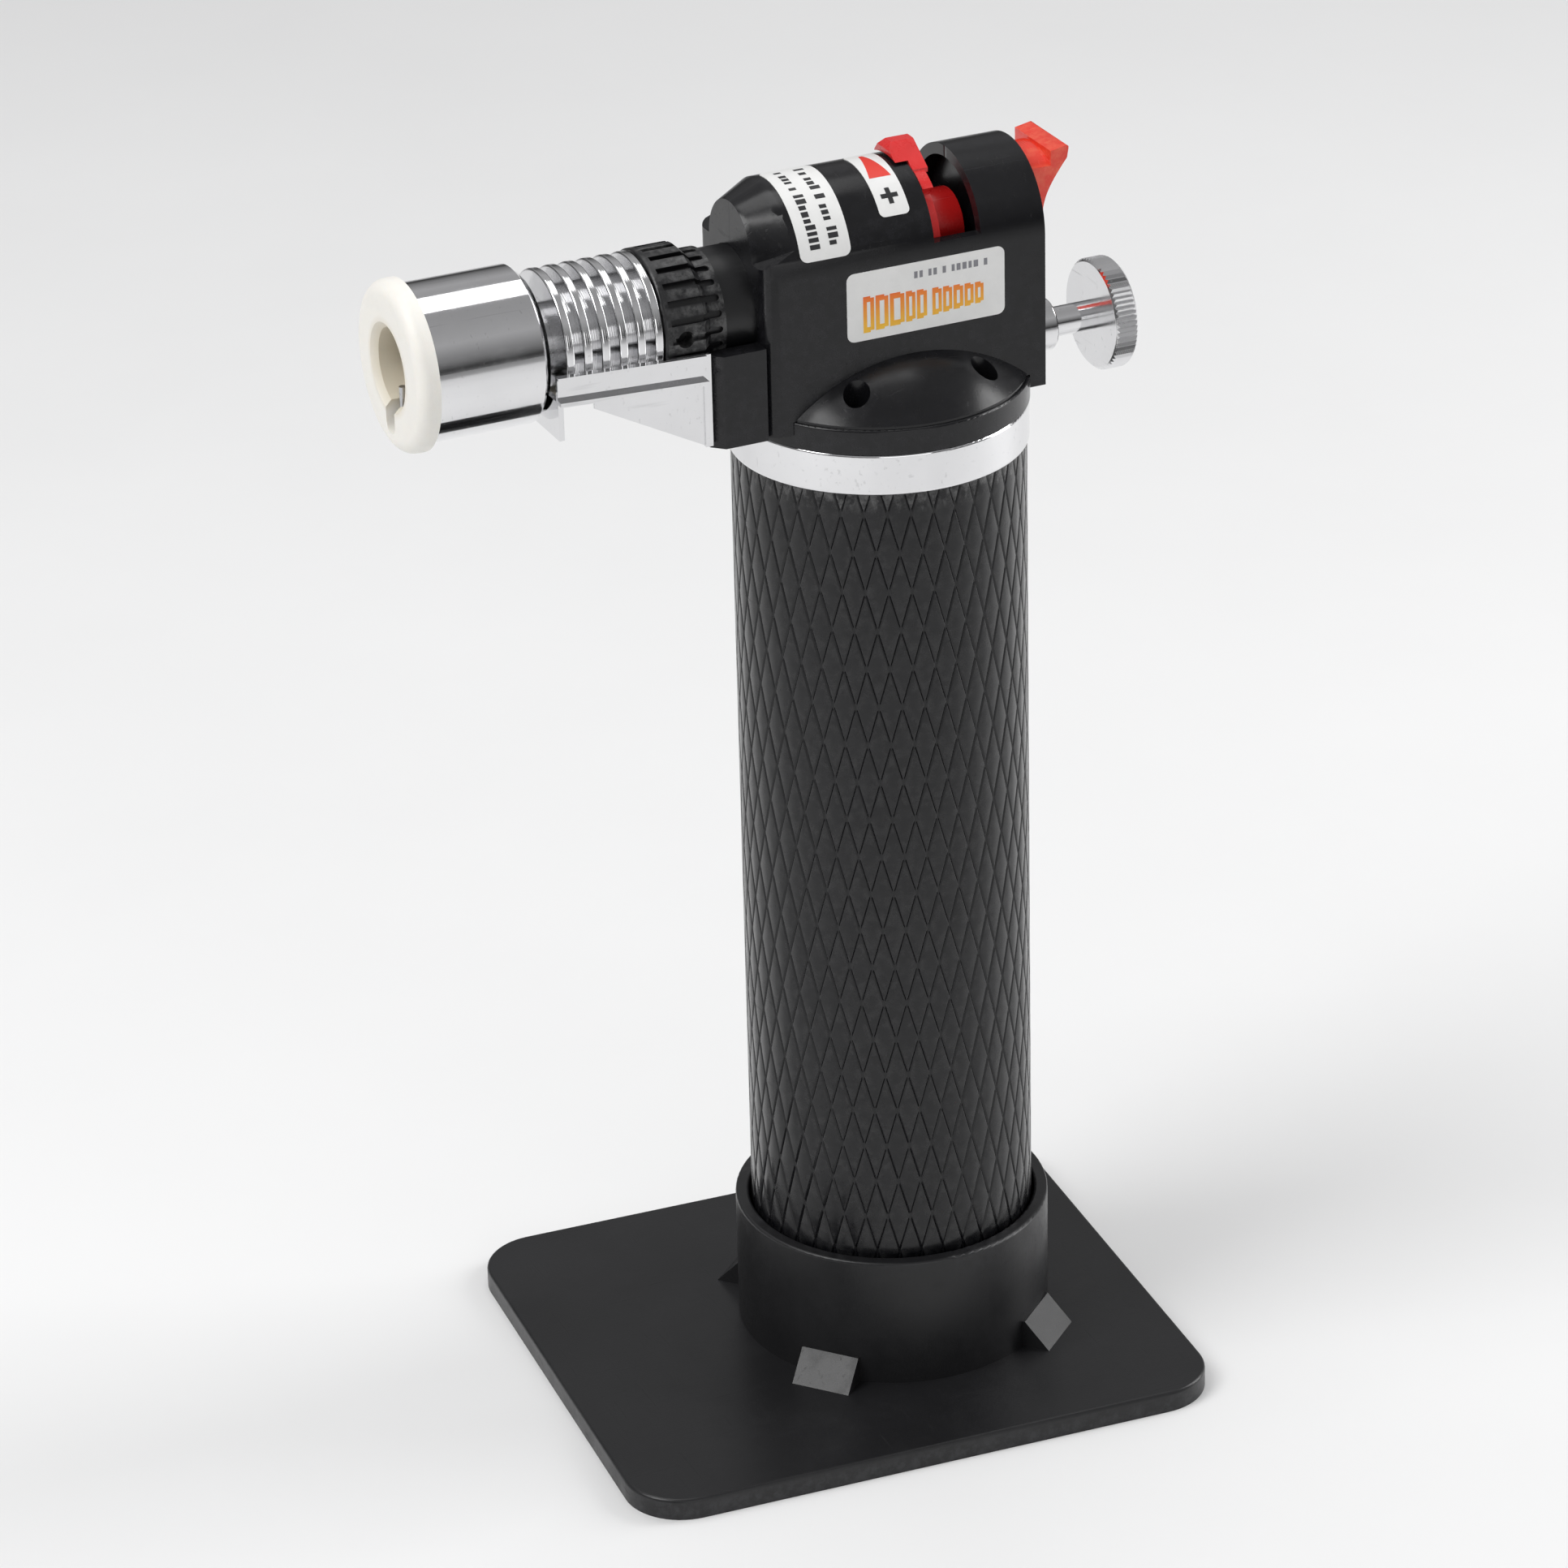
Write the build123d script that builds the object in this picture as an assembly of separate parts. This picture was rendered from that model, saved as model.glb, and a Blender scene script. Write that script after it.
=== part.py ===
# Butane torch standing in its moulded stand.
# Millimetres, +Z up. Origin: middle of the stand's underside, on the tank's axis.
# The flame barrel points along -X, the gas knob along +X, the sticker side faces -Y.
import math
import os

from build123d import *

# ---------------------------------------------------------------- driving dimensions
TANK_R = 19.0            # outside of the tank tube
TANK_WALL = 1.4
PLATE_T = 3.0            # thickness of the stand's plate
CUP_RIM_Z = 21.5         # top of the stand's cup
TUBE_TOP_Z = 131.8       # top of the tank tube, underside of the chrome ring
RING_TOP_Z = 137.4       # top of the chrome ring, underside of the head flange
FLANGE_TOP_Z = 140.7     # rim of the head flange
BARREL_Z = 154.05        # axis of the flame barrel
HUMP_Z = 159.2           # axis of the housing's round top and of the flame dial
NEEDLE_Z = 142.7         # axis of the gas needle and its knob
PIEZO_Z = 149.6          # axis of the piezo unit
HALF = 10.2              # half width of the housing, radius of its round top
WALL = 1.5               # housing wall

# stand
STAND_TURN = -4.3        # the stand is turned this much under the torch, degrees
PLATE_X = (-49.0, 33.3)
PLATE_HALF = 36.3
PLATE_CORNER_R = 8.0
CUP_R = 21.2
CUP_BORE_R = 19.35
GUSSET_W = 8.2
GUSSET_REACH = 24.7
GUSSET_TOP_Z = 6.8

# tank and its ends
BORE_R = TANK_R - TANK_WALL
PLUG_R = BORE_R - 0.1
TUBE_FOOT_Z = 6.0
BASE_PLUG_Z = 14.0
TOP_PLUG_Z = 124.0
BASE_SEAL_Z = 10.0
TOP_SEAL_Z = 128.0
SEAL_R = 0.9
RING_R = 19.3
FLANGE_R = 19.4
STEM_BORE_R = 5.0        # hole for the valve body through the top plug

# fill valve in the base
FILL_BODY_R = 3.5
FILL_BODY_Z = (4.5, 16.0)
FILL_CHAMBER_Z = (7.5, 14.0)
FILL_CHAMBER_R = 2.5
FILL_STEM_R = 1.15

# head flange
DOME_RHO = 27.0
RECESS_HALF = 8.0        # the housing is keyed into a recess across the flange
RECESS_Z = 139.2
SCREW_SPOTS = ((-8.9, -12.6), (-8.9, 12.6), (8.9, -12.6), (8.9, 12.6))
SCREW_SEAT_Z = 139.5

# housing
BODY_X = (-20.0, 18.8)
CONE_X = -15.5           # the nose tapers forwards from here
NOSE_R = 6.4             # round top of the nose's flat face
NOSE_Z = 161.05
NOSE_ROUND = 2.2         # upright corners beside the nose
LEDGE_Z = (161.2, 163.2) # top of the nose's shoulders, at the front and at the taper's start
BASE_Z = 139.0
BLOCK_X = -27.3
BLOCK_TOP_Z = 151.3
SLOT_X = (3.4, 9.9)
SLOT_Z = 161.0
CRADLE_R = 8.05
OPENING_HALF = 5.1
OPENING_Z = 155.4
OPENING_R = 8.7
PARTITION_X = (11.9, 13.1)
PARTITION_Z = 156.0
# each boss: x, z, reach either side, radius, seat of the screw's head
BOSSES = ((-14.2, 165.4, 6.0, 1.4, 5.3), (-23.2, 141.5, 8.7, 1.3, 9.2), (13.0, 146.4, 8.7, 1.3, 9.2))
PILOT_R = 0.6
HEAD_R = 1.3

# barrel, from the housing to the flame
TUBE_X = (-33.0, -18.5)
TUBE_R = 7.4
MIX_R = 4.5
TUBE_NECK_R = 6.6        # where the air collar turns on the tube
COLLAR_X = (-32.9, -24.2)
COLLAR_R = 9.0
COLLAR_SKIRT_R = 7.8
COLLAR_RIBS = 24
AIR_HOLE_X = -30.2
AIR_HOLE_TURNS = (120, 180, 240)
COLLAR_SWING = 30        # the air collar closes the holes at rest and opens them at this turn
SINK_X = (-46.1, -33.05)
FINS = 6
FIN_R = 8.8
FIN_W = 1.15
CORE_R = 6.4
SLEEVE_X = (-63.5, -48.3)
SLEEVE_R = 9.97
SLEEVE_WALL = 0.6
CERAMIC_X = (-66.2, -57.5)
CERAMIC_R = 10.9
CERAMIC_BORE_R = 5.0
KEYHOLE_R = 1.4
WIRE_Z = 146.7           # height of the electrode and its insulator
LEAD_LOW_Z = 143.9       # height of the lead where it passes the housing's front wall
LEAD_R = 0.8
LEAD_ROOF_Z = 145.3      # roof of the lead's room in the front block
GUARD_SCREW_Y = 6.6
GUARD_SCREW_Z = 141.6

# controls
PLUNGER_R = 1.5
DIAL_X = (3.6, 5.1)
DIAL_R = 8.5
TAB_X = (1.7, 5.6)
TAB_TOP_Z = 171.2
SECTOR_R = 10.0
SECTOR_HALF_DEG = 40
NEEDLE_R = 1.95
KNOB_X = (30.6, 33.8)
KNOB_R = 7.3
KNOB_TEETH = 64
KNOB_TOOTH = 0.28

# labels
LABEL_T = 0.1

PARTS = "parts"


# ---------------------------------------------------------------- small helpers
def box(x0, x1, y0, y1, z0, z1):
    low = (Align.MIN, Align.MIN, Align.MIN)
    return Pos(x0, y0, z0) * Box(x1 - x0, y1 - y0, z1 - z0, align=low)


def cyl_x(x0, x1, r, z, y=0.0):
    return Pos((x0 + x1) / 2, y, z) * Rot(0, 90, 0) * Cylinder(r, x1 - x0)


def cyl_y(y0, y1, r, x, z):
    return Pos(x, (y0 + y1) / 2, z) * Rot(90, 0, 0) * Cylinder(r, y1 - y0)


def cyl_z(z0, z1, r, x=0.0, y=0.0):
    return Pos(x, y, (z0 + z1) / 2) * Cylinder(r, z1 - z0)


def cone_x(x0, x1, r0, r1, z):
    """A cone along X: radius r0 at x0, r1 at x1."""
    return Pos((x0 + x1) / 2, 0, z) * Rot(0, 90, 0) * Cone(r0, r1, x1 - x0)


def about_x(shape, z, degrees):
    """Turn a shape about the X axis at height z."""
    return Pos(0, 0, z) * Rot(degrees, 0, 0) * Pos(0, 0, -z) * shape


def pipe(path, r):
    section = Plane(origin=path @ 0, z_dir=path % 0) * Circle(r)
    return sweep(section, path)


def side_plate(points, y0, y1):
    """A plate with a closed outline in X and Z, from y0 to y1."""
    outline = make_face(Polyline(*points, close=True))
    plate = extrude(Plane.XZ * outline, (y1 - y0) / 2, both=True)
    return Pos(0, (y0 + y1) / 2, 0) * plate


def save(node, shape):
    """Write one sub-part; loose solids of one kind share a node as a compound."""
    solids = shape.solids()
    kept = solids[0] if len(solids) == 1 else Compound(children=list(solids))
    export_step(kept, os.path.join(PARTS, node + ".step"))


# ---------------------------------------------------------------- stand
def stand():
    middle = (PLATE_X[0] + PLATE_X[1]) / 2
    outline = RectangleRounded(PLATE_X[1] - PLATE_X[0], 2 * PLATE_HALF, PLATE_CORNER_R)
    plate = extrude(Pos(middle, 0) * outline, PLATE_T)
    plate = fillet(plate.edges().group_by(Axis.Z)[-1], 0.5)
    body = plate + cyl_z(0, CUP_RIM_Z, CUP_R)
    inside_x = CUP_BORE_R + 1
    wedge = side_plate(
        (
            (inside_x, PLATE_T - 0.5),
            (GUSSET_REACH, PLATE_T - 0.5),
            (GUSSET_REACH, PLATE_T),
            (CUP_R, GUSSET_TOP_Z),
            (inside_x, GUSSET_TOP_Z),
        ),
        -GUSSET_W / 2,
        GUSSET_W / 2,
    )
    for turn in (45, 135, 225, 315):
        body += Rot(0, 0, turn) * wedge
    body -= cyl_z(PLATE_T, CUP_RIM_Z + 1, CUP_BORE_R)
    rim = [e for e in body.edges().filter_by(GeomType.CIRCLE) if e.center().Z > CUP_RIM_Z - 0.1]
    body = fillet(rim, 0.4)
    return Rot(0, 0, STAND_TURN) * body


# ---------------------------------------------------------------- tank
def seal_groove(z):
    half = SEAL_R + 0.1
    groove = cyl_z(z - half, z + half, PLUG_R + 1)
    return groove - cyl_z(z - half - 1, z + half + 1, BORE_R - 2 * SEAL_R - 0.05)


def seal(z):
    return Pos(0, 0, z) * Torus(BORE_R - SEAL_R - 0.02, SEAL_R)


def tank_tube():
    tube = cyl_z(TUBE_FOOT_Z, TUBE_TOP_Z, TANK_R)
    return tube - cyl_z(TUBE_FOOT_Z - 1, TUBE_TOP_Z + 1, BORE_R)


def base_cap():
    cap = cyl_z(PLATE_T, TUBE_FOOT_Z, TANK_R - 0.05)
    cap = chamfer(cap.edges().group_by(Axis.Z)[0], 0.6)
    cap += cyl_z(TUBE_FOOT_Z, BASE_PLUG_Z, PLUG_R)
    cap -= cyl_z(PLATE_T - 1, FILL_BODY_Z[0], 6.0)
    cap -= cyl_z(PLATE_T, BASE_PLUG_Z + 1, FILL_BODY_R + 0.02)
    return cap - seal_groove(BASE_SEAL_Z)


def top_plug():
    plug = cyl_z(TOP_PLUG_Z, RING_TOP_Z, PLUG_R)
    plug -= cyl_z(TOP_PLUG_Z - 1, RING_TOP_Z + 1, STEM_BORE_R)
    for x, y in SCREW_SPOTS:
        plug -= cyl_z(131.0, RING_TOP_Z + 1, 1.02, x, y)
    return plug - seal_groove(TOP_SEAL_Z)


def collar_ring():
    ring = cyl_z(TUBE_TOP_Z, RING_TOP_Z, RING_R)
    ring = fillet(ring.edges().filter_by(GeomType.CIRCLE), 0.45)
    return ring - cyl_z(TUBE_TOP_Z - 1, RING_TOP_Z + 1, BORE_R - 0.05)


def dip_tube():
    """Pick-up tube pressed over the valve body's lower nipple."""
    return cyl_z(18.0, 121.5, 1.6) - cyl_z(17.0, 122.0, 1.05)


# ---------------------------------------------------------------- fill valve
def fill_valve_body():
    low, high = FILL_BODY_Z
    body = cyl_z(low, high, FILL_BODY_R)
    body -= cyl_z(low - 1, high + 1, FILL_STEM_R + 0.08)
    return body - cyl_z(FILL_CHAMBER_Z[0], FILL_CHAMBER_Z[1], FILL_CHAMBER_R)


def fill_valve_stem():
    seat = FILL_CHAMBER_Z[0]
    stem = cyl_z(PLATE_T + 0.8, 12.0, FILL_STEM_R)
    return stem + cyl_z(seat, seat + 0.8, FILL_CHAMBER_R - 0.15)


def fill_valve_spring():
    """Wire coils between the stem's collar and the roof of the chamber."""
    wire_r = 0.25
    low = FILL_CHAMBER_Z[0] + 0.8 + wire_r
    high = FILL_CHAMBER_Z[1] - wire_r
    turns = 5
    path = Pos(0, 0, low) * Helix(pitch=(high - low) / turns, height=high - low, radius=1.85)
    return pipe(path, wire_r)


# ---------------------------------------------------------------- flange that carries the head
def head_flange():
    flange = cyl_z(RING_TOP_Z, FLANGE_TOP_Z, FLANGE_R)
    flange = fillet(flange.edges().group_by(Axis.Z)[-1], 0.3)
    drop = math.sqrt(DOME_RHO**2 - FLANGE_R**2)
    dome = Pos(0, 0, FLANGE_TOP_Z - drop) * Sphere(DOME_RHO)
    dome &= cyl_z(FLANGE_TOP_Z - 0.4, FLANGE_TOP_Z + 12, FLANGE_R - 0.35)
    dome -= box(-30, 30, -HALF - 0.05, HALF + 0.05, FLANGE_TOP_Z - 1, FLANGE_TOP_Z + 12)
    flange += dome
    flange -= box(-30, 30, -RECESS_HALF, RECESS_HALF, RECESS_Z, FLANGE_TOP_Z + 1)
    flange -= cyl_z(RING_TOP_Z - 1, RECESS_Z + 1, STEM_BORE_R)
    for x, y in SCREW_SPOTS:
        flange -= cyl_z(RING_TOP_Z - 1, SCREW_SEAT_Z + 1, 1.05, x, y)
        flange -= cyl_z(SCREW_SEAT_Z, FLANGE_TOP_Z + 8, 1.7, x, y)
    return flange


def flange_screws():
    screws = []
    for x, y in SCREW_SPOTS:
        head = cyl_z(SCREW_SEAT_Z, SCREW_SEAT_Z + 1.6, 1.6, x, y)
        head -= box(x - 1.0, x + 1.0, y - 0.2, y + 0.2, SCREW_SEAT_Z + 0.8, SCREW_SEAT_Z + 2)
        head -= box(x - 0.2, x + 0.2, y - 1.0, y + 1.0, SCREW_SEAT_Z + 0.8, SCREW_SEAT_Z + 2)
        screws.append((head + cyl_z(131.2, SCREW_SEAT_Z, 1.0, x, y)).solids()[0])
    return Compound(children=screws)


# ---------------------------------------------------------------- housing, two moulded shells
def round_top_bar(x0, x1, half, floor_z):
    """A bar along X with flat sides and a half-round top."""
    return box(x0, x1, -half, half, floor_z, HUMP_Z) + cyl_x(x0, x1, half, HUMP_Z)


def nose_cone(front, front_z, front_r, rear_r):
    """Taper from a low round at the front to the housing's round top."""
    small = Plane.YZ.offset(front) * Pos(0, front_z) * Circle(front_r)
    large = Plane.YZ.offset(CONE_X) * Pos(0, HUMP_Z) * Circle(rear_r)
    return loft([small, large])


def nose_shoulders(front, drop, half):
    """Side walls of the nose, with a top that rises towards the rear."""
    outline = (
        (front, BASE_Z - drop),
        (CONE_X, BASE_Z - drop),
        (CONE_X, LEDGE_Z[1] - drop),
        (front, LEDGE_Z[0] - drop),
    )
    return side_plate(outline, -half, half)


def housing_outside():
    front, rear = BODY_X
    main = round_top_bar(CONE_X, rear, HALF, BASE_Z)
    nose = round_top_bar(front, CONE_X, HALF, BASE_Z)
    shoulders = nose_shoulders(front, 0, HALF)
    shoulders = fillet(shoulders.edges().filter_by(Axis.Z).group_by(Axis.X)[0], NOSE_ROUND)
    keep = nose_cone(front, NOSE_Z, NOSE_R, HALF) + shoulders
    block = box(BLOCK_X, front, -HALF, HALF, BASE_Z, BLOCK_TOP_Z)
    block = chamfer(block.edges().filter_by(Axis.Z).group_by(Axis.X)[0], 1.5)
    return main + (nose & keep) + block


def housing_inside():
    half = HALF - WALL
    front = BODY_X[0] + WALL
    cavity = round_top_bar(CONE_X, BODY_X[1] - WALL, half, BASE_Z - 1)
    nose = round_top_bar(front, CONE_X, half, BASE_Z - 1)
    keep = nose_cone(front, NOSE_Z - 0.6, NOSE_R - 0.6, half - 0.4)
    keep += nose_shoulders(front, WALL, half)
    lead_room = box(BLOCK_X + WALL, front, -half, half, BASE_Z + WALL, LEAD_ROOF_Z)
    return cavity + (nose & keep) + lead_room


def piezo_ribs():
    ribs = box(-6.6, -5.3, -HALF + 1, -3.85, 144.6, 153.0)
    ribs += box(-6.6, -5.3, 3.85, HALF - 1, 144.6, 153.0)
    ribs += box(6.2, 7.5, -HALF + 1, -3.85, 144.6, 153.0)
    return ribs + box(6.2, 7.5, 3.85, HALF - 1, 144.6, 153.0)


def rear_partition():
    """Wall across the rear of the slot, above the button's arm."""
    half = HALF - WALL + 0.2
    bar = round_top_bar(PARTITION_X[0], PARTITION_X[1], half, PARTITION_Z)
    return bar & box(0, 20, -12, 12, PARTITION_Z, 172)


def housing_whole():
    body = housing_outside() - housing_inside() + piezo_ribs() + rear_partition()
    for x, z, reach, r, _ in BOSSES:
        body += cyl_y(-reach, reach, r, x, z)
    body -= box(SLOT_X[0], SLOT_X[1], -12, 12, SLOT_Z, 172)
    keep_out = cyl_z(BASE_Z - 1, FLANGE_TOP_Z + 0.05, FLANGE_R + 0.05)
    key = box(-30, 30, -RECESS_HALF + 0.05, RECESS_HALF - 0.05, RECESS_Z + 0.05, FLANGE_TOP_Z + 1)
    body -= keep_out - key
    body -= cyl_x(BODY_X[0] - 1, BODY_X[0] + WALL + 0.1, TUBE_R + 0.02, BARREL_Z)
    body -= cyl_x(BLOCK_X - 1, BODY_X[0], CRADLE_R, BARREL_Z)
    body -= cone_x(BLOCK_X - 0.1, BLOCK_X + 1.4, COLLAR_R + 0.3, CRADLE_R, BARREL_Z)
    body -= cyl_x(BLOCK_X - 1, BLOCK_X + 2, LEAD_R + 0.4, LEAD_LOW_Z)
    for side in (-1, 1):
        body -= cyl_x(BLOCK_X - 1, BLOCK_X + 1.6, PILOT_R + 0.02, GUARD_SCREW_Z, side * GUARD_SCREW_Y)
    body -= cyl_x(BODY_X[1] - 3, BODY_X[1] + 1, 2.25, NEEDLE_Z)
    hole = box(BODY_X[1] - 2, BODY_X[1] + 1, -OPENING_HALF, OPENING_HALF, OPENING_Z, 170)
    return body - (hole & cyl_x(BODY_X[1] - 3, BODY_X[1] + 2, OPENING_R, HUMP_Z))


def housing_near(whole):
    half = whole & box(-40, 40, -20, 0, 130, 180)
    for x, z, reach, _, _ in BOSSES:
        half -= cyl_y(1.2 - reach, 1, PILOT_R + 0.02, x, z)
    return half


def housing_far(whole):
    half = whole & box(-40, 40, 0, 20, 130, 180)
    for x, z, _, _, seat in BOSSES:
        half -= cyl_y(-1, 12, PILOT_R + 0.1, x, z)
        half -= cyl_y(seat, 12, HEAD_R + 0.1, x, z)
    return half


def housing_screws():
    screws = []
    for x, z, reach, _, seat in BOSSES:
        head = cyl_y(seat, seat + 0.8, HEAD_R, x, z)
        head -= box(x - 0.8, x + 0.8, seat + 0.4, seat + 2, z - 0.15, z + 0.15)
        head -= box(x - 0.15, x + 0.15, seat + 0.4, seat + 2, z - 0.8, z + 0.8)
        screws.append((head + cyl_y(1.5 - reach, seat, PILOT_R, x, z)).solids()[0])
    return Compound(children=screws)


# ---------------------------------------------------------------- gas path
def valve_body():
    """Brass block on a stem that runs down through the tank's top plug."""
    body = box(-4, 8, -4, 4, RECESS_Z + 0.05, 144.6)
    body += cyl_z(TOP_PLUG_Z - 0.5, RECESS_Z + 0.1, STEM_BORE_R - 0.05)
    body += cyl_z(118.5, TOP_PLUG_Z, 1.03)
    body -= cyl_z(118, NEEDLE_Z, 0.5)
    body -= cyl_x(0.6, 9, 1.25, NEEDLE_Z)
    body -= cyl_x(-3, 1, 0.5, NEEDLE_Z)
    return body - cyl_x(-5, -2.5, 1.2, NEEDLE_Z)


def valve_seal():
    return Pos(0, 0, TOP_PLUG_Z - 1.0) * Torus(3.4, 0.5)


def gas_tube():
    path = FilletPolyline((-2.6, 0, NEEDLE_Z), (-11.5, 0, NEEDLE_Z), (-11.5, 0, 151.5), radius=5)
    return pipe(path, 1.2)


def regulator_body():
    body = box(-13.5, -9.6, -4, 4, 150.5, 163.0)
    body += box(-9.7, -3.0, -4, 4, 155.0, 163.0)
    body = chamfer(body.edges().filter_by(Axis.X).group_by(Axis.Z)[-1], 1.5)
    body -= cyl_z(150, 151.55, 1.2, -11.5, 0)
    body -= cyl_x(-8.0, -2.0, 1.55, HUMP_Z)
    return body - cyl_x(-14.0, -12.5, 1.2, BARREL_Z)


def gas_jet():
    jet = cyl_x(-15.5, -13.5, 2.0, BARREL_Z) + cyl_x(-13.5, -12.55, 1.2, BARREL_Z)
    jet += cone_x(-17.0, -15.5, 0.9, 2.0, BARREL_Z)
    return jet - cyl_x(-18, -12, 0.3, BARREL_Z)


def needle_bush():
    bush = cyl_x(8.0, 18.85, 2.2, NEEDLE_Z) + cyl_x(18.85, 24.3, 3.45, NEEDLE_Z)
    bush = fillet(bush.edges().filter_by(GeomType.CIRCLE).group_by(Axis.X)[-1], 0.35)
    bush -= cyl_x(7, 19.5, 1.25, NEEDLE_Z)
    return bush - cyl_x(19.5, 25, NEEDLE_R + 0.05, NEEDLE_Z)


# ---------------------------------------------------------------- barrel
def barrel_tube():
    """Black tube from the housing's front wall to the fins, with air holes under the collar."""
    front, rear = TUBE_X
    tube = cyl_x(COLLAR_X[1] + 0.05, rear, TUBE_R, BARREL_Z)
    tube += cyl_x(front, rear, TUBE_NECK_R, BARREL_Z)
    lip = cyl_x(rear, rear + 1.4, 8.3, BARREL_Z) - box(-30, 0, -10, 10, 140, 147.4)
    tube += lip + cyl_x(rear, -13.8, 6.0, BARREL_Z)
    tube -= cyl_x(front - 1, -13, MIX_R + 0.05, BARREL_Z)
    for turn in AIR_HOLE_TURNS:
        tube -= about_x(cyl_z(BARREL_Z, BARREL_Z + 10, 1.2, AIR_HOLE_X, 0), BARREL_Z, turn)
    return tube


def mixing_tube():
    tube = cyl_x(-60.0, -15.0, MIX_R, BARREL_Z) - cyl_x(-61, -14, MIX_R - 0.7, BARREL_Z)
    for turn in AIR_HOLE_TURNS:
        tube -= about_x(cyl_z(BARREL_Z, BARREL_Z + 8, 1.1, AIR_HOLE_X, 0), BARREL_Z, turn)
    return tube


def air_collar():
    """Ribbed collar that turns over the tube's air holes; its own holes are underneath."""
    front, rear = COLLAR_X
    collar = cyl_x(front, -27.6, COLLAR_R, BARREL_Z)
    collar = fillet(collar.edges().group_by(Axis.X)[0], 0.3)
    collar += cone_x(-27.6, -26.4, COLLAR_R, COLLAR_SKIRT_R, BARREL_Z)
    collar += cyl_x(-26.4, rear, COLLAR_SKIRT_R, BARREL_Z)
    collar -= cyl_x(front - 1, rear + 1, TUBE_NECK_R + 0.06, BARREL_Z)
    for rib in range(COLLAR_RIBS):
        turn = rib * 360 / COLLAR_RIBS
        shallow = box(front + 0.9, -27.4, -0.42, 0.42, BARREL_Z + COLLAR_R - 0.75, BARREL_Z + 12)
        deep = box(-27.4, rear - 0.9, -0.42, 0.42, BARREL_Z + COLLAR_SKIRT_R - 0.5, BARREL_Z + 12)
        end = cyl_z(BARREL_Z + COLLAR_SKIRT_R - 0.5, BARREL_Z + 12, 0.42, rear - 0.9, 0)
        for cut in (shallow, deep, end):
            collar -= about_x(cut, BARREL_Z, turn)
    for turn in AIR_HOLE_TURNS:
        window = cyl_z(BARREL_Z + 6, BARREL_Z + 12, 1.1, AIR_HOLE_X, 0)
        collar -= about_x(window, BARREL_Z, turn - COLLAR_SWING)
    return collar


def heat_sink():
    front, rear = SINK_X
    sink = cyl_x(front, rear, CORE_R, BARREL_Z)
    pitch = (rear - front - FIN_W) / (FINS - 1)
    for index in range(FINS):
        x0 = front + index * pitch
        fin = cyl_x(x0, x0 + FIN_W, FIN_R, BARREL_Z)
        sink += fillet(fin.edges().filter_by(GeomType.CIRCLE), 0.3)
    sink -= cyl_x(front - 1, rear + 1, MIX_R + 0.02, BARREL_Z)
    return sink - box(front - 1, rear + 1, -1.6, 1.6, 140, BARREL_Z - CORE_R)


def flame_holder():
    """Disc with gas holes, pressed into the mouth of the mixing tube."""
    disc = cyl_x(-59.0, -57.0, MIX_R - 0.72, BARREL_Z) - cyl_x(-60, -56, 0.6, BARREL_Z)
    for turn in range(0, 360, 60):
        disc -= about_x(cyl_x(-60, -56, 0.6, BARREL_Z + 2.2), BARREL_Z, turn)
    return disc


def flame_sleeve():
    front, rear = SLEEVE_X
    sleeve = cyl_x(front, rear, SLEEVE_R, BARREL_Z)
    sleeve = chamfer(sleeve.edges().group_by(Axis.X)[-1], 1.1)
    sleeve -= cyl_x(front - 1, rear - 1.2, SLEEVE_R - SLEEVE_WALL, BARREL_Z)
    sleeve -= cyl_x(front, rear + 1, MIX_R + 0.02, BARREL_Z)
    return sleeve - cyl_x(front, rear + 1, 1.15, WIRE_Z)


def ceramic_ring():
    front, rear = CERAMIC_X
    ring = cyl_x(front, SLEEVE_X[0], CERAMIC_R, BARREL_Z)
    ring = fillet(ring.edges().group_by(Axis.X)[0], 1.7)
    ring += cyl_x(SLEEVE_X[0], rear, SLEEVE_R - SLEEVE_WALL - 0.05, BARREL_Z)
    bore = cyl_x(front - 1, rear + 1, CERAMIC_BORE_R, BARREL_Z)
    bore += cone_x(front - 0.01, front + 0.8, CERAMIC_BORE_R + 0.8, CERAMIC_BORE_R, BARREL_Z)
    foot = BARREL_Z - 8.7 + KEYHOLE_R
    bore += box(front - 1, rear + 1, -KEYHOLE_R, KEYHOLE_R, foot, BARREL_Z)
    return ring - bore - cyl_x(front - 1, rear + 1, KEYHOLE_R, foot)


# ---------------------------------------------------------------- ignition
def electrode_insulator():
    return cyl_x(-62.0, -49.0, 1.1, WIRE_Z) - cyl_x(-63, -48, 0.47, WIRE_Z)


def electrode():
    path = FilletPolyline((-50.2, 0, WIRE_Z), (-64.4, 0, WIRE_Z), (-64.4, 0, 151.3), radius=1.2)
    return pipe(path, 0.45)


def ignition_lead():
    """Insulated lead from the piezo unit, under the barrel, to the electrode's insulator."""
    points = (
        (-9.2, 2.6, 147.4),
        (-14.0, 2.6, 146.6),
        (-19.5, 0.4, 144.1),
        (-24.5, 0, LEAD_LOW_Z),
        (-33.5, 0, LEAD_LOW_Z),
        (-41.0, 0, WIRE_Z),
        (-48.95, 0, WIRE_Z),
    )
    path = FilletPolyline(*points, radius=(5.0, 6.0, 8.0, 12.0, 12.0))
    return pipe(path, LEAD_R)


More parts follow.
